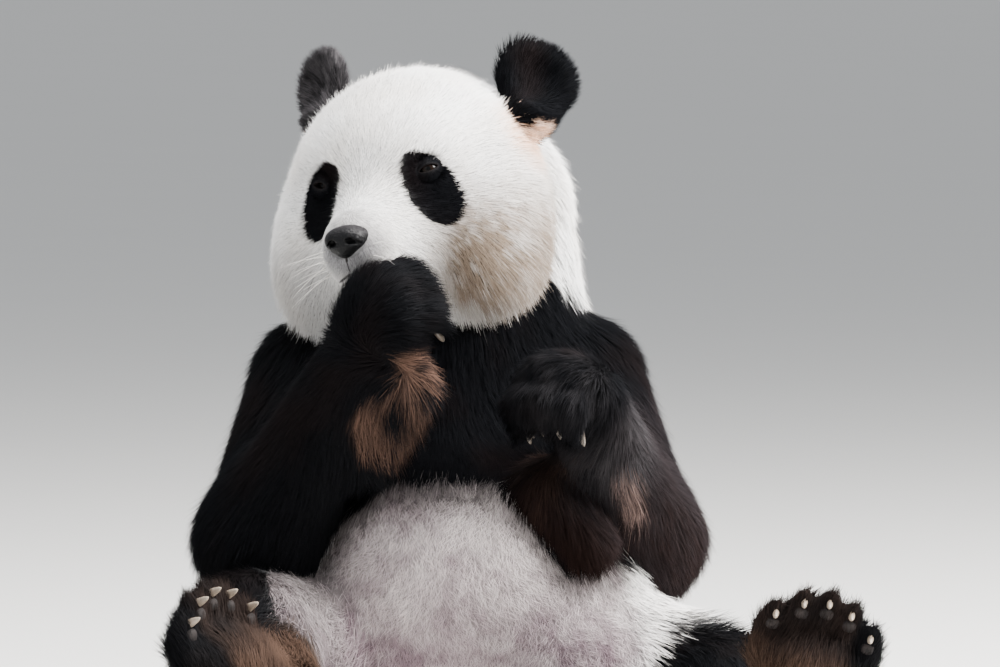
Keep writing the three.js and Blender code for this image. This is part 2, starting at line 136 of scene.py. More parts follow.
def bar(a, b, ra, rb):
    """A ball carried from a to b while its radius goes from ra to rb."""
    a, b = np.array(a, float), np.array(b, float)
    along = b - a

    def distance(x, y, z):
        px, py, pz = x - a[0], y - a[1], z - a[2]
        t = np.clip((px * along[0] + py * along[1] + pz * along[2]) / (along @ along), 0, 1)
        px, py, pz = px - t * along[0], py - t * along[1], pz - t * along[2]
        return np.sqrt(px * px + py * py + pz * pz) - (ra + t * (rb - ra))

    return Shape(distance, np.minimum(a - ra, b - rb), np.maximum(a + ra, b + rb))


def egg(centre, half, axes=WORLD, depth=0):
    """An ellipsoid with half-sizes along the axes, taken in by a depth:
    (|p / h| - 1) |p / h| / |p / h^2|."""
    c = axes.point(*centre)
    half = np.array(half, float) - depth

    def distance(x, y, z):
        px, py, pz = x - c[0], y - c[1], z - c[2]
        a, b, d = (
            (px * row[0] + py * row[1] + pz * row[2]) / h for row, h in zip(axes.rows, half)
        )
        scaled = np.sqrt(a * a + b * b + d * d) + 1e-6
        slope = np.sqrt((a / half[0]) ** 2 + (b / half[1]) ** 2 + (d / half[2]) ** 2) + 1e-9
        return scaled * (scaled - 1) / slope

    return Shape(distance, c - half.max(), c + half.max())


def melted(a, b, softness):
    """Two distances as one with a fillet: min(a, b) - h^2 k / 4, h = 1 - |a - b| / k."""
    h = np.maximum(softness - np.abs(a - b), 0) / softness
    return np.minimum(a, b) - h * h * softness / 4


def joined(softness, shapes):
    """The shapes run into each other with fillets."""

    def distance(x, y, z):
        total = shapes[0].distance(x, y, z)
        for shape in shapes[1:]:
            total = melted(total, shape.distance(x, y, z), softness)
        return total

    low = np.min([s.low for s in shapes], axis=0)
    return Shape(distance, low, np.max([s.high for s in shapes], axis=0))


def scooped(softness, shape, hollow):
    """The first shape without the second one, with a rounded rim."""

    def distance(x, y, z):
        return -melted(-shape.distance(x, y, z), hollow.distance(x, y, z), softness)

    return Shape(distance, shape.low, shape.high)


def slopes(shape, points, e=0.4):
    """The distance and its slope at points, by differences of 2e along each axis."""
    x, y, z = points.T
    steps = ((e, 0, 0), (0, e, 0), (0, 0, e))
    ahead = [shape.distance(x + dx, y + dy, z + dz) for dx, dy, dz in steps]
    back = [shape.distance(x - dx, y - dy, z - dz) for dx, dy, dz in steps]
    rise = (np.array(ahead) - np.array(back)).T / (2 * e)
    return (np.array(ahead) + np.array(back)).mean(axis=0) / 2, rise


def onto(shape, points, rounds=4):
    """Walks points down the slope until they lie on the surface."""
    for _ in range(rounds):
        distance, rise = slopes(shape, points)
        drop = distance / np.maximum((rise * rise).sum(axis=1), 0.2)
        points = points - rise * np.clip(drop, -4, 4)[:, None]
    return points


# ---------- netting a shape into a closed surface ----------


def graded(low, high, fine_low, fine_high, fine, coarse):
    """Grid lines from low to high, close together between fine_low and fine_high."""
    below = np.arange(fine_low, low - coarse, -coarse)[::-1]
    inside = np.arange(fine_low + fine, fine_high, fine)
    return np.concatenate([below, inside, np.arange(fine_high, high + coarse, coarse)])


def netted(value, lines):
    """One vertex in each grid cell that the surface passes through, at the mean of the
    crossings on the cell's edges, and one quad across each grid edge that it crosses."""
    inside = value < 0
    shape = tuple(n - 1 for n in value.shape)
    corners = list(np.ndindex(2, 2, 2))
    p, q, r = shape
    views = [inside[a : a + p, b : b + q, c : c + r] for a, b, c in corners]
    active = np.logical_or.reduce(views) & ~np.logical_and.reduce(views)
    cells = np.argwhere(active)
    number = np.full(shape, -1, np.int32)
    number[active] = np.arange(len(cells))
    at = {c: value[tuple((cells + c).T)].astype(float) for c in corners}
    mean, count = np.zeros((len(cells), 3)), np.zeros(len(cells))
    for start in corners:
        for axis in range(3):
            if start[axis]:
                continue
            end = tuple(s + (i == axis) for i, s in enumerate(start))
            a, b = at[start], at[end]
            crossed = (a < 0) != (b < 0)
            t = np.where(crossed, a / np.where(crossed, a - b, 1), 0)
            place = np.array(start) + t[:, None] * (np.arange(3) == axis)
            mean += place * crossed[:, None]
            count += crossed
    mean /= count[:, None]
    points = np.empty_like(mean)
    for axis, line in enumerate(lines):
        low, high = line[cells[:, axis]], line[cells[:, axis] + 1]
        points[:, axis] = low + mean[:, axis] * (high - low)
    quads = []
    for axis in range(3):
        p, q = (axis + 1) % 3, (axis + 2) % 3
        ahead = np.roll(inside, -1, axis)
        edges = np.argwhere(inside != ahead)
        edges = edges[(edges > 0).all(axis=1) & (edges < np.array(shape)).all(axis=1)]
        ring = []
        for a, b in ((0, 0), (1, 0), (1, 1), (0, 1)):
            step = np.zeros(3, int)
            step[p], step[q] = a, b
            ring.append(number[tuple((edges - step).T)])
        ring = np.stack(ring, axis=1)
        outwards = inside[tuple(edges.T)]
        quads.append(np.where(outwards[:, None], ring, ring[:, ::-1]))
    return points, np.concatenate(quads)


# ---------- meshes ----------


def placed(points):
    """Points of the solids' frame in metres, about the middle of their footprint."""
    return (points + SHIFT) / MM


def linked(name, data):
    """A new object in the scene."""
    piece = bpy.data.objects.new(name, data)
    bpy.context.collection.objects.link(piece)
    return piece


def mesh_piece(name, points, faces, colours, material, uv=None, normals=None):
    """An object from points in millimetres and faces that all have 3 or all 4 corners.
    colours, uv and normals are per point."""
    mesh = bpy.data.meshes.new(name)

    def fill(target, key, values, kind=np.float32):
        target.foreach_set(key, np.asarray(values, kind).ravel())

    mesh.vertices.add(len(points))
    mesh.loops.add(faces.size)
    mesh.polygons.add(len(faces))
    fill(mesh.vertices, "co", placed(points))
    fill(mesh.loops, "vertex_index", faces, np.int32)
    fill(mesh.polygons, "loop_start", np.arange(0, faces.size, faces.shape[1]), np.int32)
    mesh.update(calc_edges=True)
    fill(mesh.polygons, "use_smooth", np.ones(len(faces)), bool)
    if uv is not None:
        fill(mesh.uv_layers.new(name="OFBake").uv, "vector", uv[faces.ravel()])
    layer = mesh.attributes.new("tone", "FLOAT_COLOR", "POINT")
    fill(layer.data, "color", np.column_stack([colours, np.ones(len(points))]))
    if normals is not None:
        layer = mesh.attributes.new("custom_normal", "FLOAT_VECTOR", "POINT")
        fill(layer.data, "vector", normals)
    mesh.materials.append(material)
    return linked(name, mesh)


def net_faces(rows, columns, round_rows=False):
    """Quads of a grid of points; columns run round, and rows too where asked."""
    r = np.arange(rows if round_rows else rows - 1)[:, None]
    c = np.arange(columns)[None, :]
    ahead, up = (c + 1) % columns, (r + 1) % rows * columns
    corners = [r * columns + c, r * columns + ahead, up + ahead, up + c]
    return np.stack(corners, axis=-1).reshape(-1, 4)


def cap(columns):
    """Quads that close a ring of points."""
    half = np.arange(columns // 2 - 1)
    return np.stack([half, half + 1, columns - 2 - half, columns - 1 - half], axis=1)


def capped_net(rows, columns):
    """A net whose first and last ring have run together and are closed."""
    ends = [cap(columns)[:, ::-1], cap(columns) + (rows - 1) * columns]
    return np.concatenate([net_faces(rows, columns), *ends])


def gathered(parts):
    """Several (points, faces, colours) as one."""
    points, faces, colours = zip(*parts)
    starts = np.cumsum([0] + [len(p) for p in points[:-1]])
    faces = [own + start for own, start in zip(faces, starts)]
    return np.concatenate(points), np.concatenate(faces), np.concatenate(colours)


def in_triangles(faces):
    """Each quad as two triangles, all the first ones before all the second ones."""
    return np.concatenate([faces[:, [0, 1, 2]], faces[:, [0, 2, 3]]])


# ---------- the body's frames and joints, as in the solids ----------


def turned(yaw, roll):
    """x, y and z axes turned to the right by a yaw and leant by a roll, in degrees."""
    turn = Matrix.Rotation(np.radians(-yaw), 3, "Z") @ Matrix.Rotation(np.radians(-roll), 3, "Y")
    return [np.array(turn @ Vector(axis)) for axis in ((1, 0, 0), (0, -1, 0), (0, 0, 1))]


HEAD = Axes((-44, 100, 637), *turned(25, 5))
FACE = Axes(HEAD.origin, *turned(25, 9))
MIDLINE, EYE_MIDLINE = 7, 12
EYE_RADIUS = 12
NOSE = FACE.point(MIDLINE, 192, -41)


def eye_axes(sign):
    """x towards the outer corner, y where the eye looks, z up."""
    look = FACE.direction(sign * 0.36, 0.92, 0.06)
    out = unit(sign * FACE.rows[0] - (sign * FACE.rows[0] @ look) * look)
    up = unit(FACE.rows[2] - (FACE.rows[2] @ look) * look - (FACE.rows[2] @ out) * out)
    return Axes(FACE.point(EYE_MIDLINE + sign * 63, 101, 26.5), out, look, up)


EYE_AXES = {"right": eye_axes(-1), "left": eye_axes(1)}
SHIFT = np.add(*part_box("eye_left")) / 2 * MM - EYE_AXES["left"].origin

# Joints and their radii, the fringe under the forearm, and where the paw and its palm or
# sole point.
ARMS = {
    "right": {
        "joints": [(-130, 155, 412), (-214, -15, 262), (-80, -112, 488)],
        "radii": (110, 70, 54),
        "fringe": ((-48, -106, 440), (-88, -72, 364), 42, 39),
        "along": (0.22, -0.3, 0.92),
        "palm": (0.84, 0.5, -0.05),
    },
    "left": {
        "joints": [(128, 165, 418), (222, 66, 256), (152, -103, 415)],
        "radii": (102, 63, 50),
        "fringe": ((108, -50, 322), (150, -56, 268), 46, 42),
        "along": (-0.66, -0.57, 0.46),
        "palm": (-0.25, -0.25, -0.93),
    },
}
LEGS = {
    "right": {
        "joints": [(-92, 125, 114), (-222, -115, 150), (-188, -312, 82)],
        "radii": (122, 82, 60),
        "heel": (-196, -352, 46),
        "along": (-0.35, 0.15, 0.92),
        "palm": (0.74, -0.55, 0.4),
    },
    "left": {
        "joints": [(118, 115, 114), (318, -92, 76), (350, -318, 60)],
        "radii": (122, 80, 60),
        "heel": (356, -362, 47),
        "along": (0.26, -0.22, 0.94),
        "palm": (-0.05, -0.97, -0.2),
    },
}
# A paw's length, the digits' spacing, radii and bones in millimetres, how far the outer
# digits stand back, the bends of digits and claws in degrees, the painted shade that
# darkens the claws, and where the pads lie and their half-sizes.
HAND = dict(
    length=62,
    spacing=22,
    radii=(21, 18, 15),
    arch=0.09,
    bones=(32, 24),
    curl=(62, 122),
    claw=150,
    claw_shade=0.32,
    pad=((0, 58, 27), (38, 19, 12)),
    tip_pad=(8, (9, 11, 7.5)),
)
FOOT = dict(
    length=142,
    spacing=26,
    radii=(24, 21, 17),
    arch=0.045,
    bones=(30, 22),
    curl=(-8, 30),
    claw=85,
    claw_shade=1.0,
    pad=((0, 126, 25), (30, 8, 8)),
    tip_pad=(9.5, (8, 9, 6.5)),
)
CLAW_LENGTH, CLAW_RADIUS, CLAW_HOOK = 26, 5.5, 5


def bent(axes, degrees):
    """The direction along the paw, turned towards its palm or sole."""
    return axes.direction(0, np.cos(np.radians(degrees)), np.sin(np.radians(degrees)))


def digits_of(axes, sizes):
    """The three joints of each of the five digits."""
    digits = []
    for place in (-2, -1, 0, 1, 2):
        along = sizes["length"] * (1 - sizes["arch"] * place**2)
        root = axes.point(place * sizes["spacing"], along, -4)
        middle = root + bent(axes, sizes["curl"][0]) * sizes["bones"][0]
        digits.append((root, middle, middle + bent(axes, sizes["curl"][1]) * sizes["bones"][1]))
    return digits


def paw(limb, root, sizes):
    """A paw's axes (across it, along it, out of its palm or sole), sizes and digits."""
    along, out = unit(vec(*limb["along"])), vec(*limb["palm"])
    out = unit(out - (out @ along) * along)
    axes = Axes(root, np.cross(along, out), along, out)
    return axes, sizes, digits_of(axes, sizes)


PAWS = {f"forepaw_{side}": paw(arm, arm["joints"][2], HAND) for side, arm in ARMS.items()}
PAWS |= {f"hind_foot_{side}": paw(leg, leg["heel"], FOOT) for side, leg in LEGS.items()}


# ---------- the skin: the solids' masses, less the depth of the coat ----------


def skull_plain():
    """Skull, cheeks, brow, muzzle, its bridge and the lower jaw."""
    m = MIDLINE
    at = FACE.point
    masses = [
        egg((0, -18, 6), (152, 150, 149), HEAD, 8),
        egg((-80, 6, -58), (101, 106, 116), FACE, 10),
        egg((66, 6, -50), (100, 106, 110), FACE, 15),
        egg((m, 62, 38), (96, 62, 66), FACE, 6),
        bar(at(m, 78, -44), at(m, 160, -54), 61, 42),
        bar(at(m, 92, 2), at(m, 160, -38), 29, 23),
        bar(at(m, 66, -92), at(m, 136, -92), 37, 22),
    ]
    return joined(34, masses)


def skull_skin():
    """The skull with a round socket for each eye."""
    face = SKULL
    for axes in EYE_AXES.values():
        socket = bar(axes.point(0, 2, 0), axes.point(0, 24, 0), EYE_RADIUS + 1.5, EYE_RADIUS + 5)
        face = scooped(6, face, socket)
    return face


SKULL = skull_plain()


def ear_axes(side, place):
    """x across the ear, y out of its cup, z from its root to its tip."""
    facing, lean = np.radians(32) * side, np.radians(42) * side
    ahead = HEAD.direction(np.sin(facing), np.cos(facing), 0.1)
    up = HEAD.direction(np.sin(lean), 0, np.cos(lean))
    across = unit(np.cross(ahead, up))
    return Axes(HEAD.point(*place), across, ahead, np.cross(across, ahead))


EARS = {"right": ear_axes(-1, (-130, -58, 137)), "left": ear_axes(1, (139, -58, 123))}


def ear_skin(side):
    """A cupped shell on a short stalk."""
    axes = EARS[side]
    root = {"right": 12, "left": -12}[side]
    shell = egg((0, 0, 0), (53, 21, 48), axes, 6)
    stalk = bar(axes.point(root, -4, -34), axes.point(0, -4, -8), 33, 21)
    return scooped(8, joined(14, [shell, stalk]), egg((0, 23, 4), (36, 20, 33), axes))


def trunk_skin():
    """Shoulders, back, chest, belly, rump, left groin and neck."""
    masses = [
        egg((0, 165, 372), (188, 168, 150), depth=11),
        egg((14, 228, 300), (196, 176, 165), depth=11),
        egg((5, 235, 420), (165, 120, 120), depth=11),
        egg((18, 95, 222), (228, 200, 190), depth=9),
        egg((28, 215, 160), (222, 222, 172), depth=11),
        egg((165, 5, 118), (120, 125, 82), depth=10),
        bar((5, 185, 430), (8, 178, 620), 156, 127),
    ]
    return joined(60, masses)


def limb_bars(limb):
    """The two long parts of a limb, in from the solids by the coat's depth."""
    top, bend, end = limb["joints"]
    a, b, c = limb["radii"]
    return [bar(top, bend, a - 10, b - 9), bar(bend, end, b - 9, c - 8)]


def digit_bars(digits, radii, depth):
    """Two bars for each digit, in from the solids by a depth."""
    a, b, c = (r - depth for r in radii)
    return [s for d in digits for s in (bar(d[0], d[1], a, b), bar(d[1], d[2], b, c))]


def fringe_bar(side):
    """The core of the long hair that hangs from the inside of a forearm."""
    low, high, ra, rb = ARMS[side]["fringe"]
    return bar(low, high, ra - 14, rb - 14)


def arm_skin(side):
    """Upper arm, forearm with its fringe, and hand."""
    axes, sizes, digits = PAWS[f"forepaw_{side}"]
    palm = egg((0, 38.4, -4), (56, 54, 44), axes, 7)
    hand = joined(16, [palm, *digit_bars(digits, sizes["radii"], 6)])
    return joined(36, [*limb_bars(ARMS[side]), fringe_bar(side), hand])


def leg_skin(side):
    """Thigh, shank and foot."""
    axes, sizes, digits = PAWS[f"hind_foot_{side}"]
    sole = bar(axes.point(0, 0, 0), axes.point(0, 85, 0), 49, 47)
    ball = egg((0, 114, 0), (66, 46, 38), axes, 6)
    foot = joined(9, [joined(30, [sole, ball]), *digit_bars(digits, sizes["radii"], 5)])
    return joined(36, [*limb_bars(LEGS[side]), foot])


FLOOR_GAP = 1.5
GROUPS = {
    "head": skull_skin(),
    "ear_right": ear_skin("right"),
    "ear_left": ear_skin("left"),
    "trunk": trunk_skin(),
    "arm_right": arm_skin("right"),
    "arm_left": arm_skin("left"),
    "leg_right": leg_skin("right"),
    "leg_left": leg_skin("left"),
    "tail": bar((30, 400, 75), (38, 440, 42), 34, 24),
}
NAMES = list(GROUPS)

# The order in which the groups are joined, and how softly; the paws only touch the head.
JOINS = dict(trunk=26, head=12, ear_right=12, ear_left=12, leg_right=26, leg_left=26)
JOINS |= dict(tail=26, arm_right=14, arm_left=14)
# A distance beyond all skin, and how far from its box a group is worked out.
FAR, MARGIN = 200.0, 40


def skin_distance(x, y, z):
    """The joined groups above the floor, each worked out only near its own box."""
    total = np.full(x.shape, FAR)
    points = np.stack([x, y, z], axis=1)
    for name, softness in JOINS.items():
        group = GROUPS[name]
        near = ((points > group.low - MARGIN) & (points < group.high + MARGIN)).all(axis=1)
        total[near] = melted(total[near], group.distance(*points[near].T), softness)
    return np.maximum(total, FLOOR_GAP - z)


SKIN = Shape(skin_distance, vec(-315, -460, 0), vec(475, 490, 850))


def skin_on_grid(lines):
    """The same distance at every crossing of the grid lines."""
    value = np.full([len(line) for line in lines], FAR, np.float32)
    for name, softness in JOINS.items():
        group = GROUPS[name]
        spans = tuple(
            slice(*np.searchsorted(line, (low - MARGIN, high + MARGIN)))
            for line, low, high in zip(lines, group.low, group.high)
        )
        grid = np.meshgrid(*(line[s] for line, s in zip(lines, spans)), indexing="ij", sparse=True)
        value[spans] = melted(value[spans], group.distance(*grid), softness)
    return np.maximum(value, FLOOR_GAP - lines[2])


class Spots:
    """Places on the skin, and how near they are to each group of the body."""

    def __init__(self, points, normals, near):
        self.points, self.normals, self.near = points, normals, near
        first, second = np.sort(near, axis=1)[:, :2].T[:, :, None]
        self.lead = smooth(-9, 9, np.where(near <= first, second, first) - near)

    def of(self, *names):
        """How much each spot belongs to any of the groups."""
        return np.clip(sum(self.lead[:, NAMES.index(n)] for n in names), 0, 1)

    def part(self, keep):
        return Spots(self.points[keep], self.normals[keep], self.near[keep])

    def with_more(self, others):
        """These spots and the others as one."""
        every = [(s.points, s.normals, s.near) for s in [self, *others]]
        return Spots(*(np.concatenate(values) for values in zip(*every)))

    def moved(self, step):
        """The same spots a step further on, where the hair rooted here is seen."""
        return Spots(self.points + step, self.normals, self.near)


class Surface(Spots):
    """Spots that are the corners of quads."""

    def __init__(self, points, quads, normals):
        near = np.stack([GROUPS[name].distance(*points.T) for name in NAMES], axis=1)
        super().__init__(points, normals, near)
        self.quads = quads


def skin_surface():
    """The skin, netted on a grid that is fine where the eyes and muzzle are."""
    fine, coarse = 3.45, 6.8
    lines = (
        graded(SKIN.low[0], SKIN.high[0], -215, 5, fine, coarse),
        graded(SKIN.low[1], SKIN.high[1], -112, 62, fine, coarse),
        graded(-14, SKIN.high[2], 536, 704, fine, coarse),
    )
    points, quads = netted(skin_on_grid(lines), lines)
    used, quads = np.unique(quads, return_inverse=True)
    points = onto(SKIN, points[used])
    return Surface(points, quads.reshape(-1, 4), unit(slopes(SKIN, points)[1]))


# ---------- the markings ----------

WHITE = (0.86, 0.85, 0.84)
CREAM = (0.66, 0.55, 0.44)
PEACH = (0.70, 0.42, 0.28)
# Beige of the left cheek: staining of the hair, partly painted shade.
BEIGE = (0.19, 0.142, 0.105)
# Grey of the muzzle's hair, also laid on deeper below the nose as painted shade.
MUZZLE = (0.22, 0.215, 0.225)
BLACK = (0.0032, 0.0034, 0.0042)
BROWN = (0.105, 0.060, 0.043)
FAWN = (0.17, 0.115, 0.10)
# Painted sunlit grey for the outer side of the left forearm.
SUNLIT_GREY = (0.020, 0.016, 0.017)
# Painted sheen: soft grey highlights on the left forearm and paw.
PAINTED_SHEEN = (0.038, 0.035, 0.037)
# Painted backlight: grey for the right ear's hair.
PAINTED_BACKLIGHT = (0.065, 0.060, 0.063)
# A reddish tone, also laid on as painted light low on the left arm.
RUSSET = (0.012, 0.0065, 0.0055)
LILAC = (0.76, 0.67, 0.66)
MAUVE = (0.25, 0.18, 0.205)
SOLE = (0.052, 0.031, 0.022)


def face_coords(points):
    """Left, ahead and up in the face's axes, with its midline at 0."""
    return FACE.coords(points).T - vec(MIDLINE, 0, 0)[:, None]


# The dark patch round each eye: its middle across and up, lean, and half-sizes.
EYE_PATCHES = {"right": (-70, 10, 0.50, 49, 26), "left": (67, 6, 0.41, 48, 25)}


def eye_patch(points):
    """1 in the two slanted ellipses, whose long axes run from above the eyes outwards
    and down."""
    left, ahead, up = face_coords(points)
    across = left + MIDLINE - EYE_MIDLINE
    inside = 0
    for middle, height, lean, long, short in EYE_PATCHES.values():
        out, rise = (across - middle) * np.sign(middle), up - height
        a = out * np.sin(lean) - rise * np.cos(lean)
        b = out * np.cos(lean) + rise * np.sin(lean)
        edge = np.hypot(a / long, b / (short + 0.03 * a)) + 0.05 * noise(points, 9, 3)
        inside = inside + (1 - smooth(0.94, 1.06, edge))
    return np.clip(inside, 0, 1) * (ahead > 40)


def fringe_share(points, side):
    """1 on the long hair that hangs from the inside of a forearm."""
    return 1 - smooth(-8, 16, fringe_bar(side).distance(*points.T) + 6 * noise(points, 18, 14))


# Where the hair under the forearms is brown: the side, the ends of a bar, its radius and
# the share.
BROWN_HAIR = (
    ("right", (-36, -170, 450), (-40, -40, 452), 24, 1.0),
    ("right", (-72, -160, 392), (-76, -20, 388), 32, 1.0),
    ("right", (-52, -120, 420), (-52, -60, 420), 20, 0.6),
    ("left", (104, -120, 330), (104, -20, 330), 34, 0.12),
    ("left", (190, -66, 336), (206, -34, 294), 13, 1.3),
)


def brown_share(spots):
    """The brown hair under each forearm, ragged at its edge, with painted shade where a hollow lies
    in it.
    """
    ragged = 9 * noise(spots.points, 20, 14) + 4 * noise(spots.points, 7, 16)
    total = 0
    for side, low, high, radius, share in BROWN_HAIR:
        away = bar(low, high, radius, radius).distance(*spots.points.T)
        inside = share * (1 - smooth(-7, 9, away + ragged))
        total = np.maximum(total, inside * spots.of(f"arm_{side}"))
    x, _, z = spots.points.T
    # Painted shade: the hair is left dark in a hollow of the right fringe.
    hollow = np.exp(-(((x + 62) / 14) ** 2) - ((z - 396) / 25) ** 2)
    return total * (1 - np.clip(1.5 * hollow, 0, 1))


def path_place(points, joints):
    """How far along a path of joints each point lies, and its distance from the path."""
    best = np.full(len(points), 1e9)
    place = np.zeros(len(points))
    start = 0
    for a, b in zip(joints[:-1], joints[1:]):
        a, b = np.array(a, float), np.array(b, float)
        length = np.linalg.norm(b - a)
        t = np.clip((points - a) @ (b - a) / length**2, 0, 1)
        away = np.linalg.norm(points - a - t[:, None] * (b - a), axis=1)
        place = np.where(away < best, start + t * length, place)
        best = np.minimum(best, away)
        start += length
    return place, best


def band_foot(points):
    """The height of the lower edge of the black band: higher at the back, lower behind
    the left arm."""
    x, y, _ = points.T
    back = smooth(40, 250, y)
    apron = smooth(40, 150, x) * (1 - back) * 96
    return 318 - apron + 84 * back - np.clip(-70 - x, 0, 70)


def black_share(spots):
    """Ears, eye patches, arms with the band across shoulders and chest, and legs."""
    points = spots.points
    x, y, z = points.T
    rough = 8 * noise(points, 34, 4) + 5 * noise(points, 11, 5)
    low = band_foot(points) + rough
    high = 500 + 30 * smooth(185, 100, y) + 60 * smooth(104, 88, y) + rough
    black = smooth(-9, 9, z - low) * smooth(-9, 9, high - z) * spots.of("trunk")
    black = black + smooth(0.08, 0.42, spots.of("arm_right", "arm_left"))
    for side, root, reach in (("right", (34, 4, -34), 26), ("left", (-38, 16, -46), 25)):
        pale = smear(points, EARS[side].point(*root), reach + 7 * noise(points, 5, 27))
        black = black + spots.of(f"ear_{side}") * (1 - smooth(0.2, 0.8, pale))
    inner_knee = 110 * smooth(-208, -186, x + 0.5 * rough)
    for side, start in (("right", 236 + inner_knee), ("left", 225)):
        place, _ = path_place(points, LEGS[side]["joints"])
        leg = smooth(start - 16, start + 16, place + rough)
        black = black + leg * spots.of(f"leg_{side}")
    black = black + eye_patch(points) * spots.of("head")
    return np.clip(black, 0, 1)


def belly_share(spots):
    """The thin matted wool on the front of the trunk, below the band."""
    x, y, z = spots.points.T
    across = np.where(x > 20, x - 20, 0.7 * (20 - x))
    side = 1 - smooth(160, 225, across + 14 * noise(spots.points, 30, 15))
    front = smooth(120, 60, y) * smooth(390, 370, z)
    return front * side * spots.of("trunk", "leg_left", "leg_right")


def bare_wool(spots):
    """The thin wool where it isn't black."""
    return belly_share(spots) * (1 - black_share(spots))


def smear(points, centre, radius):
    """1 at a centre, 0 beyond the radius."""
    return 1 - smooth(0.2, 1, np.linalg.norm(points - centre, axis=1) / radius)


def head_colours(spots, colour, broad):
    """Stains the left cheek beige, partly as painted shade, with a painted shadow low on the
    jowl; flushes the roots of the ears; greys the muzzle, with painted shade below the
    nose; and puts painted shade on the lower right cheek."""
    points = spots.points
    left, ahead, up = face_coords(points)
    head = spots.of("head")
    # The beige is partly staining of the hair, partly painted shade on the lower left cheek.
    beige = np.exp(-(((left - 122) / 58) ** 2) - ((up + 72) / 84) ** 2)
    # Painted shadow low on the jowl, dark brown-grey.
    jowl_shadow = 0.5 * np.exp(-(((left - 80) / 36) ** 2) - ((up + 125) / 45) ** 2)
    streaky = 1 + 0.12 * broad + 0.2 * noise(points, 10, 24) + 0.3 * noise(points, 4.5, 30)
    beige = np.clip((beige + jowl_shadow) * streaky, 0, 1) * smooth(-150, -70, ahead) * head
    colour = mixed(colour, BEIGE, beige)
    for side, inwards, strength in (("right", 30, 0.5), ("left", -28, 1.0)):
        flush = strength * smear(points, EARS[side].point(inwards, 14, -48), 66)
        flush = np.clip(flush * (1 + 0.4 * noise(points, 5, 26)), 0, 1)
        ear = np.clip(head + spots.of(f"ear_{side}"), 0, 1)
        colour = mixed(colour, PEACH, ear * flush)
    muzzle = head * (ahead > 120) * smooth(64, 26, np.linalg.norm(points - NOSE, axis=1))
    # Grey hair on the muzzle, with painted shade added below the nose.
    colour = mixed(colour, MUZZLE, muzzle * (0.5 + 0.4 * smooth(-25, -55, up)))
    # Painted shade on the lower right cheek.
    return colour * (1 - 0.5 * head * smooth(-30, -120, left) * smooth(10, -90, up))[:, None]


def wool_colours(points):
    """The belly's wool: mottled, and darker low down, at its right edge and where it comes
    out from under the black band."""
    x, _, z = points.T
    mottle = 0.1 + 0.4 * noise(points, 60, 8) + 0.3 * noise(points, 16, 9)
    mottle = mottle + 0.2 * noise(points, 5, 25)
    wool = mixed(LILAC, MAUVE, np.clip(mottle + 0.65 * smooth(270, 130, z), 0, 1))
    wool = wool * (1 - 0.62 * smooth(-85, -160, x) - 0.22 * smooth(-10, 60, x))[:, None]
    below = band_foot(points) - z + 12 * noise(points, 4, 28)
    return wool * (0.14 + 0.86 * smooth(-6, 50, below))[:, None]


def dark_colours(spots, broad):
    """Black hair: russet at random, and as painted light low on the left arm, with painted
    sunlit grey and a painted sheen on its forearm and paw; grey with painted backlight on the
    right ear; brown under the forearms, with painted shade in its gaps; and bare brown skin
    on the soles behind dark toes."""
    points = spots.points
    x, _, z = points.T
    left_arm = spots.of("arm_left")
    # Russet: a random reddish tone, and painted light low on the left arm.
    warm = np.clip(0.4 * broad + 0.9 * (left_arm * smooth(340, 240, z)), 0, 1)
    dark = mixed(BLACK, RUSSET, warm)
    # Painted light: the outer side of the left forearm drawn sunlit grey.
    lit = left_arm * smooth(150, 205, x) * smooth(430, 370, z)
    dark = mixed(dark, SUNLIT_GREY, lit * np.clip(0.6 + 0.5 * noise(points, 9, 19), 0, 1))
    # Painted sheen: soft grey highlights on the left forearm and on the back of its paw.
    wear_and_sheen = smear(points, vec(188, -80, 366), 84) + 0.35 * smear(points, vec(120, -170, 445), 90)
    wear_and_sheen = np.clip(wear_and_sheen * (0.6 + 0.8 * noise(points, 9, 29)), 0, 1)
    dark = mixed(dark, PAINTED_SHEEN, wear_and_sheen * left_arm)
    # Painted backlight: the right ear's hair drawn grey, as if lit from behind.
    backlit_grey = spots.of("ear_right") * np.clip(0.55 + 0.6 * noise(points, 4, 17), 0, 1)
    dark = mixed(dark, PAINTED_BACKLIGHT, backlit_grey)
    # Patchy brown: the dark gaps left between its locks are partly painted shade.
    patchy = 0.72 + 0.7 * noise(points, 14, 10) + 0.3 * noise(points, 5, 20)
    brown = mixed(BROWN, FAWN, smooth(150, 180, x))
    dark = mixed(dark, brown, np.clip(brown_share(spots) * patchy, 0, 1))
    for side in SIDES:
        across, along, out = PAWS[f"hind_foot_{side}"][0].coords(points).T
        outer = across if side == "left" else -across
        wrap = 24 * smooth(0, -30, outer)
        sole = smooth(-14 - wrap, 8 - wrap, out) * smooth(-60, -20, along) * spots.of(f"leg_{side}")
        toes = 1 - 0.8 * smooth(116, 152, along)
        toes = toes * (1 - 0.95 * smooth(24, 42, outer) * smooth(68, 96, along))
        dark = mixed(dark, SOLE, np.clip(sole * toes * (0.95 + 0.5 * noise(points, 22, 18)), 0, 1))
    return dark


def coat_colours(spots):
    """The base colour of the coat at each spot, linear red, green and blue."""
    points = spots.points
    fine, broad = noise(points, 6, 6), noise(points, 45, 7)
    cream = np.clip(0.25 + 0.35 * broad + 0.5 * smooth(180, 0, points[:, 2]), 0, 1)
    colour = head_colours(spots, mixed(WHITE, CREAM, 0.5 * cream), broad)
    colour = mixed(colour, wool_colours(points), belly_share(spots))
    dark = dark_colours(spots, broad)
    colour = mixed(colour, dark, smooth(0.3, 0.7, black_share(spots)))
    return colour * (1 + 0.14 * fine)[:, None]


# ---------- the lie, length and stand of the coat ----------

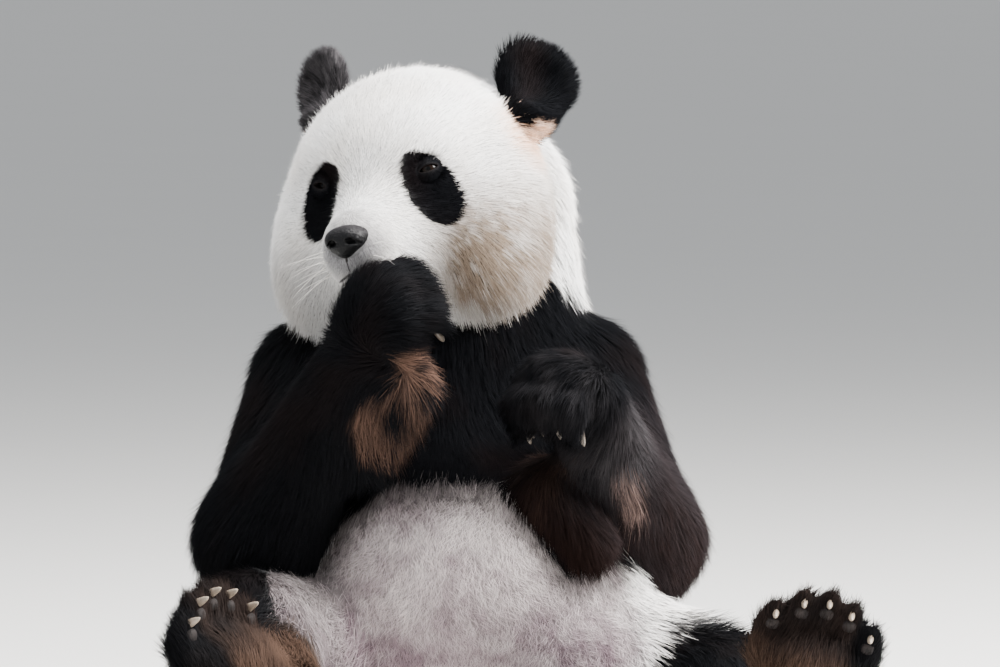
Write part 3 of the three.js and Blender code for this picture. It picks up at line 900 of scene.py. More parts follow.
# The joints of each limb, down to the tip of its middle digit.
HAND_PATHS = {s: [*ARMS[s]["joints"], *PAWS[f"forepaw_{s}"][2][2]] for s in SIDES}
FOOT_PATHS = {s: [*LEGS[s]["joints"], *PAWS[f"hind_foot_{s}"][2][2]] for s in SIDES}


def along_path(points, joints, back=()):
    """The direction of a path of joints near each point: each piece of the path counts
    by exp(-distance / 22). The pieces named in back are followed the other way."""
    total = 0
    for i, (a, b) in enumerate(zip(joints[:-1], joints[1:])):
        a, b = np.array(a, float), np.array(b, float)
        _, away = path_place(points, [a, b])
        line = unit(a - b) if i in back else unit(b - a)
        total = total + line * np.exp(-away / 22)[:, None]
    return unit(total + 1e-9)


def lie_of_coat(spots):
    """Directions along the skin: away from the nose on the head, out of each ear's root,
    down the trunk, and along each limb to its toes, all with a slow swirl."""
    points, normals = spots.points, spots.normals
    x = points[:, 0]
    down = vec(0, 0, -1)
    _, ahead, up = face_coords(points)
    source = FACE.point(MIDLINE, 178, -10)
    cheek = 0.75 * smooth(20, -90, up) * smooth(150, 60, ahead)
    face = unit(unit(points - source) + 0.9 * cheek[:, None] * down)
    for axes in EYE_AXES.values():
        across, _, above = axes.coords(points).T
        parted = smooth(30, 14, np.hypot(across, above)) * (ahead > 40)
        face = mixed(face, unit(points - axes.point(0, 9, 0)), parted)
    fields = {"head": unit(face)}
    for side in SIDES:
        ear = EARS[side]
        fields[f"ear_{side}"] = unit(points - ear.point(0, -6, -52))
        fields[f"arm_{side}"] = unit(along_path(points, HAND_PATHS[side], (1,)) + 0.25 * down)
        fields[f"leg_{side}"] = unit(along_path(points, FOOT_PATHS[side]) + 0.15 * down)
    outwards = np.stack([(x - 12) * 0.003, np.full(len(x), 0.1), np.full(len(x), -1.0)], axis=1)
    fields["trunk"] = unit(outwards)
    fields["tail"] = np.tile(unit(vec(0.1, 0.6, -0.7)), (len(points), 1))
    weight = np.exp(-np.maximum(spots.near, -4) / 10)
    total = sum(fields[n] * weight[:, [i]] for i, n in enumerate(NAMES))
    hanging = unit(vec(0.4, -0.1, -0.9))
    for side in SIDES:
        total = mixed(unit(total), hanging, fringe_share(points, side) * spots.of(f"arm_{side}"))
    flow = total - (total * normals).sum(axis=1)[:, None] * normals
    flow = unit(flow + 1e-4)
    swirl = 0.30 * noise(points, 48, 12) + 0.16 * noise(points, 15, 13)
    swirl = swirl * (1 + 1.4 * belly_share(spots) + 1.8 * brown_share(spots))
    return unit(flow + np.cross(normals, flow) * swirl[:, None])


def coat_length(spots):
    """Millimetres of hair: 7 on the muzzle and lids to 33 on the ruff, 34 on the trunk but
    13 on the belly, 14 on the ears, 36 on the forearms, 58 on the left thigh."""
    points = spots.points
    _, ahead, up = face_coords(points)
    head = 24 - 11 * smooth(0, 100, ahead) - 6 * smooth(120, 165, ahead)
    head = head + 9 * smooth(-30, -110, up) * smooth(120, 50, ahead)
    length = np.full(len(points), 34.0)
    for axes in EYE_AXES.values():
        away = np.linalg.norm(points - axes.point(0, 12, 0), axis=1)
        head = head + (7 - head) * smooth(34, 14, away)
    length = length + (head - length) * spots.of("head")
    length = length + (14 - length) * spots.of("ear_right", "ear_left")
    length = length + 14 * smear(points, EARS["left"].point(50, 0, 14), 34)
    length = length + (13 - length) * belly_share(spots) * (1 - 0.55 * black_share(spots))
    for side in SIDES:
        place, _ = path_place(points, HAND_PATHS[side])
        arm = 36 - 6 * smooth(380, 430, place) - 5 * smooth(440, 500, place)
        length = length + (arm - length) * spots.of(f"arm_{side}")
        length = length + (36 - length) * fringe_share(points, side) * spots.of(f"arm_{side}")
        place, _ = path_place(points, FOOT_PATHS[side])
        leg = 34 - 8 * smooth(380, 520, place) - 5 * smooth(560, 640, place)
        _, _, out = PAWS[f"hind_foot_{side}"][0].coords(points).T
        leg = leg + (19 - leg) * smooth(0, 24, out) * smooth(420, 520, place)
        length = length + (leg - length) * spots.of(f"leg_{side}")
    return length + (58 - length) * hip_fluff(points)


def hip_fluff(points):
    """1 on top of the left thigh, where the white hair stands up."""
    return smear(points, vec(268, -30, 150), 105)


def coat_lift(spots):
    """The sine of the angle at which hair leaves the skin."""
    _, ahead, up = face_coords(spots.points)
    lift = np.full(len(up), 0.30)
    lift = lift + 0.12 * spots.of("head") * smooth(-20, -110, up)
    lift = lift - 0.10 * spots.of("head") * smooth(60, 140, ahead)
    for side in SIDES:
        lift = lift + 0.28 * fringe_share(spots.points, side) * spots.of(f"arm_{side}")
        out = PAWS[f"hind_foot_{side}"][0].coords(spots.points)[:, 2]
        lift = lift + 0.2 * smooth(0, 24, out) * spots.of(f"leg_{side}")
    lift = lift + 0.42 * hip_fluff(spots.points)
    return lift + 0.08 * spots.of("ear_right", "ear_left")


def bare(points):
    """True where no tuft is rooted: in the eyes, on the nose and pads, under the seat."""
    none = points[:, 2] < 7
    for axes in EYE_AXES.values():
        across, ahead, up = axes.coords(points).T
        none |= (np.hypot(across / 14.5, up / 10.5) < 1) & (ahead > 0) & (ahead < 40)
    left, ahead, up = face_coords(points)
    none |= (np.hypot(left / 24, (up + 41) / 19) < 1) & (ahead > 160)
    for pad in PADS:
        across, along, out = (pad.axes.coords(points) / pad.half).T
        none |= np.sqrt(across**2 + along**2 + (0.5 * out) ** 2) < 0.75
    return none


# ---------- tufts ----------

TUFT = np.array(((0, 1, 2), (0, 3, 1), (1, 3, 2), (2, 3, 0)))
STEEPEST = 0.93
OVER_FLOOR = 0.6
PALEST = 0.92
# How far the corners of a tuft lie apart in its unwrap.
UV_SPREAD = np.array(((-0.0012, -0.0014), (0.0012, -0.0014), (0, -0.0014), (0, 0.0014)))


class Looks:
    """Length, width, lift, droop and colour of each tuft of a patch."""

    def __init__(self, spots, patch):
        count = len(spots.points)
        self.length = coat_length(spots) * (0.72 + 0.5 * chance.random(count))
        width = (patch.width + 0.022 * self.length) * (0.8 + 0.5 * chance.random(count))
        loose = brown_share(spots)
        stray = (chance.random(count) < 0.12 + 0.16 * loose) * np.clip(self.length / 26, 0.15, 1)
        self.length = self.length * (1 + 0.35 * stray * loose)
        self.width = width * (1 - 0.4 * stray)
        self.lift = coat_lift(spots) * (0.5 + chance.random(count)) + 0.32 * stray
        self.droop = 0.012 * self.length * (0.6 + 0.6 * chance.random(count))
        self.flow = self.lie(spots)
        uneven = 0.3 * np.clip((self.length - 12) / 20, 0.2, 1) * chance.normal(0, 1, count)
        seen = spots.moved(self.flow * (self.length * (0.7 + uneven))[:, None])
        shade = 1 + patch.mix * (chance.random(count) - 0.5)
        self.colours = coat_colours(seen) * shade[:, None]

    def lie(self, spots):
        """The lie of the coat, with each tuft turned a little at random."""
        flow = lie_of_coat(spots)
        matted = 0.13 + 0.6 * bare_wool(spots) + 0.2 * brown_share(spots)
        wander = (chance.normal(0, 1, len(flow)) * matted)[:, None]
        return unit(flow + np.cross(spots.normals, flow) * wander)


def tuft_bundle(spots, looks, patch):
    """Closed three-sided tufts. Each starts along the flow, lifted, and turns towards its
    end direction, so its tip is at root + length (start + end) / 2."""
    roots, normals, flow = spots.points, spots.normals, looks.flow
    rise = np.minimum(looks.lift, STEEPEST)[:, None]
    start = unit(flow * np.sqrt(1 - rise**2) + normals * rise)
    sag = looks.droop[:, None] * vec(0, 0, -1)
    end = unit(flow + normals * rise * (0.25 + 0.6 * rise) + sag)
    side = unit(np.cross(start, normals))
    above = np.cross(side, start)
    tip = roots + looks.length[:, None] * (start + end) / 2
    tip = together(roots, tip, patch.clump, patch.pull * np.clip(looks.length / 24, 0.5, 1.7))
    base = roots - normals * np.minimum(0.05 * looks.length, 1.2)[:, None]
    half = (looks.width / 2)[:, None]
    ring = [base - side * half, base + side * half, base + above * half * 0.7]
    points = np.stack([*ring, tip], axis=1)
    points[:, :, 2] = np.maximum(points[:, :, 2], OVER_FLOOR)
    faces = TUFT + 4 * np.arange(len(roots))[:, None, None]
    darker, lighter = patch.ends
    shades = vec(darker, darker, darker, lighter)[:, None]
    tone = np.minimum(looks.colours[:, None] * shades, PALEST)
    uv = patch.unwrap(roots)[:, None, :] + UV_SPREAD
    made = (points, faces, tone, uv, shading_normals(normals, side, above, patch))
    return [values.reshape(-1, values.shape[-1]) for values in made]


def shading_normals(normals, side, above, patch):
    """Each tuft is shaded much as the skin under it: the skin's normal, turned a little
    to the left, right or top as the corner lies on the tuft."""
    turns = (-patch.round * side, patch.round * side, patch.round * above, 0 * side)
    normals = normals + chance.normal(0, patch.stray, normals.shape)
    return unit(np.stack([normals + turn for turn in turns], axis=1))


def together(roots, tips, size, pull):
    """Draws the tips of each clump, a warped cell of the given size, towards their mean."""
    warp = np.stack([noise(roots, 1.7 * size, seed) for seed in (21, 22, 23)], axis=1)
    cell = np.floor((roots + warp * size * 0.8) / size).astype(np.int64)
    key = (cell * SCRAMBLE).sum(axis=1)
    _, clump = np.unique(key, return_inverse=True)
    count = np.bincount(clump)
    mean = np.stack([np.bincount(clump, tips[:, i]) / count for i in range(3)], axis=1)
    share = (pull * (0.6 + 0.8 * chance.random(len(tips))))[:, None]
    return tips + (mean[clump] - tips) * share


def globe(axes):
    """Unwraps a blob about its axes: the angle from y is the distance from the middle."""

    def unwrap(points):
        a, b, c = unit(axes.coords(points)).T
        reach = 0.49 * np.sqrt((1 - b) / 2) / np.maximum(np.hypot(a, c), 1e-6)
        return 0.5 + np.stack([a * reach, c * reach], axis=1)

    return unwrap


def sleeve(joints):
    """Unwraps a limb: its place along the joints against the angle round them."""
    joints = np.array(joints, float)
    starts = np.cumsum([0] + [np.linalg.norm(b - a) for a, b in zip(joints[:-1], joints[1:])])

    def unwrap(points):
        place, _ = path_place(points, joints)
        part = np.clip(np.searchsorted(starts, place, "right") - 1, 0, len(joints) - 2)
        line = unit(joints[part + 1] - joints[part])
        across = unit(np.cross(line, (0.31, 0.95, 0.1)))
        off = points - joints[part]
        angle = np.arctan2((off * np.cross(line, across)).sum(axis=1), (off * across).sum(axis=1))
        return np.stack([0.5 + angle / (2.1 * np.pi), 0.01 + 0.98 * place / starts[-1]], axis=1)

    return unwrap


class Patch:
    """One piece of coat: its slot, most tufts, unwrap, the size of its clumps, how much
    they draw the tips together, and its thinnest tuft. round and stray turn the shading,
    mix is the difference between neighbours, ends are the shades of root and tip."""

    def __init__(self, slot, most, unwrap, clump, pull, width):
        self.slot, self.most, self.unwrap = slot, most, unwrap
        self.clump, self.pull, self.width = clump, pull, width
        white = slot == "coat_white"
        self.round, self.stray, self.mix = (0.45, 0.08, 0.10) if white else (0.8, 0.26, 0.2)
        self.ends = (0.92, 1.03) if white else (0.8, 1.12)


def facing(x, y, z, look):
    """A globe unwrap of the trunk about a point, looked at from the front or the back."""
    return globe(Axes((x, y, z), (1, 0, 0), (0, look, 0), (0, 0, 1)))


FRONT_OF_HEAD = globe(HEAD)
BACK_OF_HEAD = globe(Axes(HEAD.origin, *-HEAD.rows))
PATCHES = {
    "coat_face": Patch("coat_white", 49500, FRONT_OF_HEAD, 7, 0.14, 0.5),
    "coat_crown": Patch("coat_white", 31000, BACK_OF_HEAD, 9, 0.25, 0.6),
    "coat_eye_patches": Patch("coat_black", 10000, FRONT_OF_HEAD, 6, 0.1, 0.5),
    "coat_ears": Patch("coat_black", 15000, BACK_OF_HEAD, 7, 0.25, 0.5),
    "coat_neck": Patch("coat_white", 14000, facing(5, 180, 500, 1), 10, 0.3, 0.7),
    "coat_chest": Patch("coat_black", 26000, facing(5, 150, 400, -1), 12, 0.12, 0.55),
    "coat_shoulders": Patch("coat_black", 21000, facing(5, 180, 400, 1), 12, 0.2, 0.65),
    "coat_belly": Patch("coat_belly", 37000, facing(18, 150, 200, -1), 7, 0.25, 0.45),
    "coat_sides": Patch("coat_white", 14000, facing(18, 150, 200, -1), 12, 0.35, 0.7),
    "coat_rump": Patch("coat_white", 24000, facing(28, 200, 160, 1), 12, 0.35, 0.7),
    "coat_arm_right": Patch("coat_black", 44000, sleeve(HAND_PATHS["right"]), 11, 0.2, 0.6),
    "coat_arm_left": Patch("coat_black", 42000, sleeve(HAND_PATHS["left"]), 11, 0.2, 0.6),
    "coat_leg_right": Patch("coat_black", 24000, sleeve(FOOT_PATHS["right"]), 11, 0.2, 0.6),
    "coat_leg_left": Patch("coat_black", 20000, sleeve(FOOT_PATHS["left"]), 11, 0.2, 0.6),
}


def patch_of(spots):
    """The name of the piece of coat that each spot belongs to."""
    group = np.array(NAMES)[spots.near.argmin(axis=1)]
    _, y, z = spots.points.T
    ahead = face_coords(spots.points)[1]
    black, belly, front = black_share(spots) > 0.5, belly_share(spots) > 0.5, y < 165
    limb = np.char.add("coat_", group)
    places = [belly, z > 440, front]
    pale = np.select(places, ["coat_belly", "coat_neck", "coat_sides"], "coat_rump")
    head = np.select([black, ahead > 0], ["coat_eye_patches", "coat_face"], "coat_crown")
    trunk = np.select([~black, front], [pale, "coat_chest"], "coat_shoulders")
    leg = np.where(black, limb, pale)
    kinds = [np.char.startswith(group, kind) for kind in ("head", "tail", "ear", "arm", "leg")]
    return np.select(kinds, [head, "coat_rump", "coat_ears", limb, leg], trunk)


def scattered(surface, chosen, count):
    """Spots spread evenly over the chosen triangles, closer where the hair is short."""
    triangles = in_triangles(surface.quads)[chosen]
    a, b, c = (surface.points[triangles[:, i]] for i in range(3))
    area = np.linalg.norm(np.cross(b - a, c - a), axis=1) / 2
    first = triangles[:, 0]
    middle = Spots((a + b + c) / 3, surface.normals[first], surface.near[first])
    weight = area * (24 / coat_length(middle)) ** 0.75
    total = np.cumsum(weight)
    drawn = np.searchsorted(total, (np.arange(count) + chance.random(count)) * total[-1] / count)
    drawn = triangles[np.minimum(drawn, len(triangles) - 1)]
    u, v = chance.random((2, count))
    u, v = np.where(u + v > 1, 1 - u, u), np.where(u + v > 1, 1 - v, v)
    share = np.stack([1 - u - v, u, v], axis=1)[:, :, None]
    return Spots(
        (surface.points[drawn] * share).sum(axis=1),
        unit((surface.normals[drawn] * share).sum(axis=1)),
        (surface.near[drawn] * share).sum(axis=1),
    )


def coat_piece(name, surface, chosen, material):
    """Tufts over the chosen triangles of a surface, as one piece."""
    patch = PATCHES[name]
    spots = scattered(surface, chosen, patch.most)
    spots = spots.part(~bare(spots.points))
    if name == "coat_eye_patches":
        spots = spots.with_more([lid_spots(side) for side in SIDES])
    points, faces, tone, uv, outwards = tuft_bundle(spots, Looks(spots, patch), patch)
    piece = mesh_piece(name, points, faces, tone, material, uv, outwards)
    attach(piece, "root")


# ---------- eyes, lids, nose, lips, whiskers, pads and claws ----------

PUPIL, IRIS = (0.002, 0.002, 0.002), (0.007, 0.004, 0.0028)
IRIS_EDGE, EYE_WHITE = (0.003, 0.0024, 0.0022), (0.007, 0.005, 0.0045)
LID, WET_LID = (0.0045, 0.0042, 0.0048), (0.008, 0.0065, 0.0065)
# NOSE_TOP is a painted highlight on the top of the nose.
NOSE_SKIN, NOSE_TOP = (0.004, 0.004, 0.0045), (0.010, 0.009, 0.010)
LIP, WHISKER = (0.018, 0.014, 0.014), (0.75, 0.72, 0.68)
PAD, WORN_PAD = (0.008, 0.007, 0.007), (0.022, 0.017, 0.016)
CLAW_ROOT, CLAW, CLAW_TIP = (0.06, 0.04, 0.03), (0.24, 0.19, 0.145), (0.34, 0.28, 0.22)


def ring_grid(rows, columns, place):
    """Points of a grid: place(row from 0 to 1, angle) gives arrays of x, y and z."""
    s, angle = np.meshgrid(np.linspace(0, 1, rows), angles(columns), indexing="ij")
    return np.stack(place(s, angle), axis=-1).reshape(-1, 3)


def eyeball(side):
    """A ball whose cornea stands out: r = R (1 + 0.045 exp(-(angle / 0.5)^2)); dark iris."""
    rows, columns = 40, 36

    def place(s, angle):
        polar = 0.02 + s * (np.pi - 0.04)
        r = (EYE_RADIUS - 0.5) * (1 + 0.045 * np.exp(-((polar / 0.5) ** 2)))
        across = r * np.sin(polar)
        return across * np.cos(angle), r * np.cos(polar), across * np.sin(angle)

    local = ring_grid(rows, columns, place)
    polar = np.arccos(unit(local)[:, 1])
    colour = mixed(PUPIL, IRIS, smooth(0.2, 0.3, polar))
    colour = mixed(colour, IRIS_EDGE, smooth(0.52, 0.66, polar))
    colour = mixed(colour, EYE_WHITE, smooth(0.85, 1.1, polar))
    return EYE_AXES[side].mapped(local), capped_net(rows, columns), colour


def lid_height(axes, across, up):
    """How far ahead of the eye's centre the skull lies at places across and up."""
    ahead = np.full(across.shape, 40.0)
    for _ in range(24):
        points = axes.mapped(np.stack([across, ahead, up], axis=1))
        ahead = ahead - 0.8 * SKULL.distance(*points.T)
    return ahead


LID_COLUMNS, LID_TUFTS = 72, 1500


def lid_spots(side):
    """Spots on the lids, from a little outside their wet edge to their rim."""
    points, faces, _ = lids(side)
    grid = points.reshape(-1, LID_COLUMNS, 3)
    along = np.roll(grid, -1, axis=0) - np.roll(grid, 1, axis=0)
    round_it = np.roll(grid, -1, axis=1) - np.roll(grid, 1, axis=1)
    normals = unit(np.cross(along, round_it).reshape(-1, 3))
    outwards = np.sign((normals * (points - EYE_AXES[side].origin)).sum(axis=1))
    furred = faces[5 * LID_COLUMNS : 16 * LID_COLUMNS]
    surface = Surface(points, furred, normals * outwards[:, None])
    return scattered(surface, np.ones(2 * len(furred), bool), LID_TUFTS)


def lids(side):
    """A ring of skin round the eye. Its section runs from behind the lid's edge over the
    edge, hugs the ball, passes into the skull's surface and turns back under it. The
    opening is an almond: half-width 10.4, half-height 3.9 above and 3.1 below, its
    corners pinched by sin^1.3, with the outer corner higher."""
    axes = EYE_AXES[side]
    angle = angles(LID_COLUMNS)
    cos, sin = np.cos(angle), np.sin(angle)
    height = np.where(sin > 0, 3.9, 3.1) * np.abs(sin) ** 1.3
    almond = np.stack([10.4 * cos, np.sign(sin) * height], axis=1)
    rim = np.stack([18 * cos, 14 * sin], axis=1)
    upper = smooth(-0.2, 0.5, sin)
    rings = []

    def ball(place, radius):
        return np.sqrt(np.maximum(radius**2 - (place**2).sum(axis=1), 4))

    def ring(place, ahead):
        across, up = place.T
        slant = 0.2 * across * (1 - 0.5 * smooth(8, 20, np.abs(across)))
        rings.append(np.stack([across, ahead, up + slant], axis=1))

    ring(almond * 1.12, ball(almond * 1.12, EYE_RADIUS - 2.5))
    ring(almond * 1.02, ball(almond, EYE_RADIUS + 0.1))
    ring(almond, ball(almond, EYE_RADIUS + 0.9))
    for q in np.linspace(0.02, 1, 14):
        place = almond * (1 + 0.08 * min(1, q * 12)) * (1 - q) + rim * q
        bulge = 0.8 * upper * np.exp(-(((q - 0.16) / 0.1) ** 2))
        fold = 0.3 * upper * np.exp(-(((q - 0.42) / 0.07) ** 2))
        hug = ball(place, EYE_RADIUS + 1.4 + bulge)
        skin = lid_height(axes, *place.T) - 0.4
        ring(place, -melted(-hug, -skin, 5) - fold - 3.5 * smooth(0.8, 1, q))
    ring(rim * 0.9, lid_height(axes, *(rim * 0.9).T) - 6)
    ring(almond * 1.6, ball(almond * 1.3, EYE_RADIUS - 3.0))
    edge = np.repeat(np.arange(len(rings)), LID_COLUMNS)
    colour = mixed(LID, WET_LID, (edge > 1) & (edge < 4))
    faces = net_faces(len(rings), LID_COLUMNS, round_rows=True)
    return axes.mapped(np.concatenate(rings)), faces[:, ::-1], colour


def nose_pad():
    """The bare nose: a broad top and a narrower foot, two comma-shaped nostrils that run
    out to the sides, and a cleft down the middle."""
    axes = Axes(NOSE, *FACE.rows)
    at = axes.point
    masses = [
        egg((0, -1, 4), (26, 20, 13.5), axes),
        egg((-11, 4, -1), (12, 15, 11), axes),
        egg((11, 4, -1), (12, 15, 11), axes),
        egg((0, 1, -9), (13, 18, 12.5), axes),
    ]
    body = joined(8, masses)
    for s in (-1, 1):
        body = scooped(2, body, bar(at(s * 7.5, 22, -2.5), at(s * 13, 14, -0.5), 3.2, 4.0))
        body = scooped(1.5, body, bar(at(s * 13, 19, -3), at(s * 25, 9, -7.5), 2.6, 1.2))
    body = scooped(1.5, body, bar(at(0, 22, -2), at(0, 19, -24), 0.9, 1.5))
    lines = [np.arange(low - 3, high + 4.5, 1.5) for low, high in zip(body.low, body.high)]
    grid = np.meshgrid(*lines, indexing="ij", sparse=True)
    points, quads = netted(body.distance(*grid), lines)
    points = onto(body, points, 3)
    local = axes.coords(points)
    # Painted highlight: the top of the nose is drawn lighter.
    top = smooth(0, 12, local[:, 2]) * smooth(22, 8, local[:, 1])
    colour = mixed(NOSE_SKIN, NOSE_TOP, top)
    return points, quads, colour * (1 + 0.25 * noise(points, 1.6, 31))[:, None]


def swept(line, side, other, radii, columns):
    """Rings round a line of points, spanned by two directions."""
    angle = angles(columns)[None, :, None]
    ring = side * np.cos(angle) + other * np.sin(angle)
    return (line[:, None] + ring * radii[:, None, None]).reshape(-1, 3)


def tube(line, radii, colour, columns=12):
    """A round tube along a line of points that narrows to closed ends."""
    ahead = unit(np.gradient(line, axis=0))
    side = unit(np.cross(ahead, vec(0.2, 0.3, 1)))
    points = swept(line, side[:, None], np.cross(side, ahead)[:, None], radii, columns)
    return points, capped_net(len(line), columns), np.full(points.shape, colour)


def lips():
    """The dark edge of the mouth: from the foot of the nose down its cleft, and along
    each side of the muzzle, curving down and back."""
    t = np.linspace(0, 1, 40)
    level = (196 - 84 * t**1.6, -80 - 7 * np.sin(3.0 * t) + 4 * t)
    thinning = 1.9 * np.sqrt(np.clip(1.02 - t, 0.001, 1))
    made = []
    for left, ahead, up, radii in (
        (MIDLINE - 56 * t**0.9, *level, thinning),
        (MIDLINE + 56 * t**0.9, *level, thinning),
        (MIDLINE + 0 * t, 204 + 0 * t, -60 - 20 * t, np.full(40, 1.3)),
    ):
        line = onto(SKULL, FACE.mapped(np.stack([left, ahead, up], axis=1)))
        made.append(tube(line - unit(slopes(SKULL, line)[1]) * 0.2, radii, LIP))
    return gathered(made)


def whiskers():
    """Stiff hairs on both sides of the upper lip: each leaves outwards and forwards and
    sags by t^2, and thins towards its tip."""
    made = []
    t = np.linspace(0, 1, 8)
    for s in (-1, 1):
        for row in range(3):
            for place in range(4 + row % 2):
                reach = 38 + 22 * chance.random()
                left, ahead = MIDLINE + s * (20 + 5 * place), 182 - 10 * place
                root = FACE.point(left, ahead, -50 - 9 * row - 2 * place)
                root = onto(SKULL, root[None])[0]
                a, b, c = chance.normal(0, 0.12, 3)
                ahead = FACE.direction(s * 0.85 + a, 0.35 + b, -0.12 * row + c)
                sag = np.outer(-0.22 * reach * t * t, (0, 0, 1))
                line = root + np.outer(t * reach, ahead) + sag
                made.append(tube(line, 0.42 * (1 - 0.8 * t), WHISKER, 4))
    return gathered(made)


Pad = namedtuple("Pad", "axes half")


def paw_pads():
    """One broad pad across each palm or sole and one under each digit."""
    pads = []
    for axes, sizes, digits in PAWS.values():
        middle, half = sizes["pad"]
        pads.append(Pad(Axes(axes.point(*middle), *axes.rows), half))
        depth, half = sizes["tip_pad"]
        out = bent(axes, sizes["curl"][1] + 90)
        for _, knuckle, tip in digits:
            centre = knuckle * 0.35 + tip * 0.65 + out * depth
            pads.append(Pad(Axes(centre, axes.rows[0], unit(tip - knuckle), out), half))
    return pads


PADS = paw_pads()


def pad_mesh(pad, seed):
    """A flattened egg with a slow unevenness."""
    rows, columns = 20, 28

    def place(s, angle):
        polar = 0.03 + s * (np.pi - 0.06)
        ring = np.sin(polar)
        return ring * np.cos(angle), ring * np.sin(angle), -np.cos(polar)

    local = ring_grid(rows, columns, place)
    shape = np.abs(local) ** 0.86 * np.sign(local) * pad.half
    points = pad.axes.mapped(shape * (1 + 0.05 * noise(shape, 7, seed))[:, None])
    colour = mixed(PAD, WORN_PAD, 0.5 + 0.5 * noise(points, 5, 33))
    return points, capped_net(rows, columns)[:, ::-1], colour


def claw_mesh(axes, tip, heading, shade):
    """A hooked cone: r = R (1 - t^2.6)^0.6, its middle line bent towards the palm by t^2."""
    rows, columns = 22, 16
    deep = np.cross(heading, axes.rows[0])
    root = tip - axes.rows[2] * CLAW_HOOK
    t = np.linspace(0, 0.998, rows)
    line = root + np.outer(t * CLAW_LENGTH, heading) + np.outer(t * t * CLAW_HOOK, axes.rows[2])
    radii = CLAW_RADIUS * (1 - t**2.6) ** 0.6
    points = swept(line, 0.72 * axes.rows[0], deep, radii, columns)
    share = np.repeat(t, columns)
    horn = mixed(CLAW_ROOT, CLAW, smooth(0.35, 0.75, share))
    horn = mixed(horn, CLAW_TIP, smooth(0.8, 1, share) * 0.6)
    # shade is painted shade: it darkens the forepaws' claws.
    horn = horn * shade * (1 + 0.1 * noise(points, 2.5, 34))[:, None]
    return points, capped_net(rows, columns), horn


def claws():
    """Five on each paw."""
    made = []
    for axes, sizes, digits in PAWS.values():
        heading = bent(axes, sizes["claw"])
        made += [claw_mesh(axes, tip, heading, sizes["claw_shade"]) for _, _, tip in digits]
    return gathered(made)


# ---------- finishes ----------


class Wire:
    """A socket in a finish; * and + with a number add Math nodes."""

    def __init__(self, finish, socket):
        self.finish, self.socket = finish, socket

    def math(self, operation, number):
        return self.finish.add("ShaderNodeMath", {"operation": operation}, {0: self, 1: number})

    def __add__(self, number):
        return self.math("ADD", number)

    def __mul__(self, number):
        return self.math("MULTIPLY", number)


class Finish:
    """A material: constants go on the shader's own sockets, and add() puts in a node."""

    def __init__(self, name, **constants):
        self.material = bpy.data.materials.new(name)
        self.material.use_nodes = True
        self.tree = self.material.node_tree
        self.shader = self.tree.nodes["Principled BSDF"]
        for socket, number in constants.items():
            self.shader.inputs[socket.replace("_", " ")].default_value = number

    def add(self, kind, settings, inputs, output=0):
        node = self.tree.nodes.new(kind)
        for name, setting in settings.items():
            setattr(node, name, setting)
        for name, given in inputs.items():
            if isinstance(given, Wire):
                self.tree.links.new(given.socket, node.inputs[name])
            else:
                node.inputs[name].default_value = given
        return Wire(self, node.outputs[output])

    def place(self):
        return self.add("ShaderNodeTexCoord", {}, {}, "Object")

    def cloud(self, scale, detail=2.0):
        inputs = {"Vector": self.place(), "Scale": scale, "Detail": detail}
        return self.add("ShaderNodeTexNoise", {}, inputs)

    def bump(self, height, strength, distance):
        inputs = {"Height": height, "Strength": strength, "Distance": distance}
        return self.add("ShaderNodeBump", {}, inputs)

    def toned(self, share, **wires):
        """The material, coloured by the mesh's tone times a share, with other sockets fed."""
        tone = self.add("ShaderNodeAttribute", {"attribute_name": "tone"}, {}, "Color")
        scale = {"operation": "SCALE"}
        colour = self.add("ShaderNodeVectorMath", scale, {0: tone, "Scale": share})
        for name, wire in {"Base_Color": colour, **wires}.items():
            self.tree.links.new(wire.socket, self.shader.inputs[name.replace("_", " ")])
        return self.material


def hair_finish(name, roughness, gloss, sheen):
    """Hair, with a fine speckle."""
    looks = dict(Roughness=roughness, Specular_IOR_Level=gloss, Sheen_Weight=sheen, IOR=1.3)
    finish = Finish(name, **looks)
    return finish.toned(finish.cloud(420.0) * 0.3 + 0.85)


def skin_finish():
    """Dull skin that is only seen between the tufts."""
    finish = Finish("skin_under_the_coat", Roughness=0.9, Specular_IOR_Level=0.05)
    relief = finish.bump(finish.cloud(700.0, 3.0), 0.6, 0.002)
    return finish.toned(finish.cloud(160.0) * 0.5 + 0.5, Normal=relief)


def leather_finish(name, roughness, gloss, scale, depth):
    """Bare skin: small pebbles between fine cracks."""
    finish = Finish(name, Specular_IOR_Level=gloss)
    inputs = {"Vector": finish.place(), "Scale": scale}
    pebbles = finish.add("ShaderNodeTexVoronoi", {"feature": "F1"}, inputs)
    wear_and_sheen = finish.cloud(300.0) * 0.25 + (roughness - 0.12)
    return finish.toned(1.0, Roughness=wear_and_sheen, Normal=finish.bump(pebbles * -1 + 1, 0.5, depth))


def eye_finish():
    """A streaked iris under a thin wet coat."""
    looks = dict(Roughness=0.6, Specular_IOR_Level=0.0, Coat_Weight=0.2, Coat_Roughness=0.08)
    finish = Finish("wet_eye", **looks)
    return finish.toned(finish.cloud(1500.0) * 0.6 + 0.7)


def horn_finish():
    """Claws, their grain in colour, shine and relief."""
    finish = Finish("claw_horn")
    grain = finish.cloud(900.0, 3.0)
    relief = finish.bump(grain, 0.15, 0.0005)
    return finish.toned(grain * 0.5 + 0.75, Roughness=grain * 0.3 + 0.25, Normal=relief)


def floor_finish():
    finish = Finish("pale_floor", Roughness=0.9)
    return finish.toned(finish.cloud(1.3) * 0.02 + 0.99)


# ---------- the panda ----------


def shown(name, made, material, slot, *nodes):
    """A piece on the body, in place of the named nodes."""
    piece = mesh_piece(name, *made, material)
    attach(piece, "root")
    if nodes:
        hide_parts(*nodes)


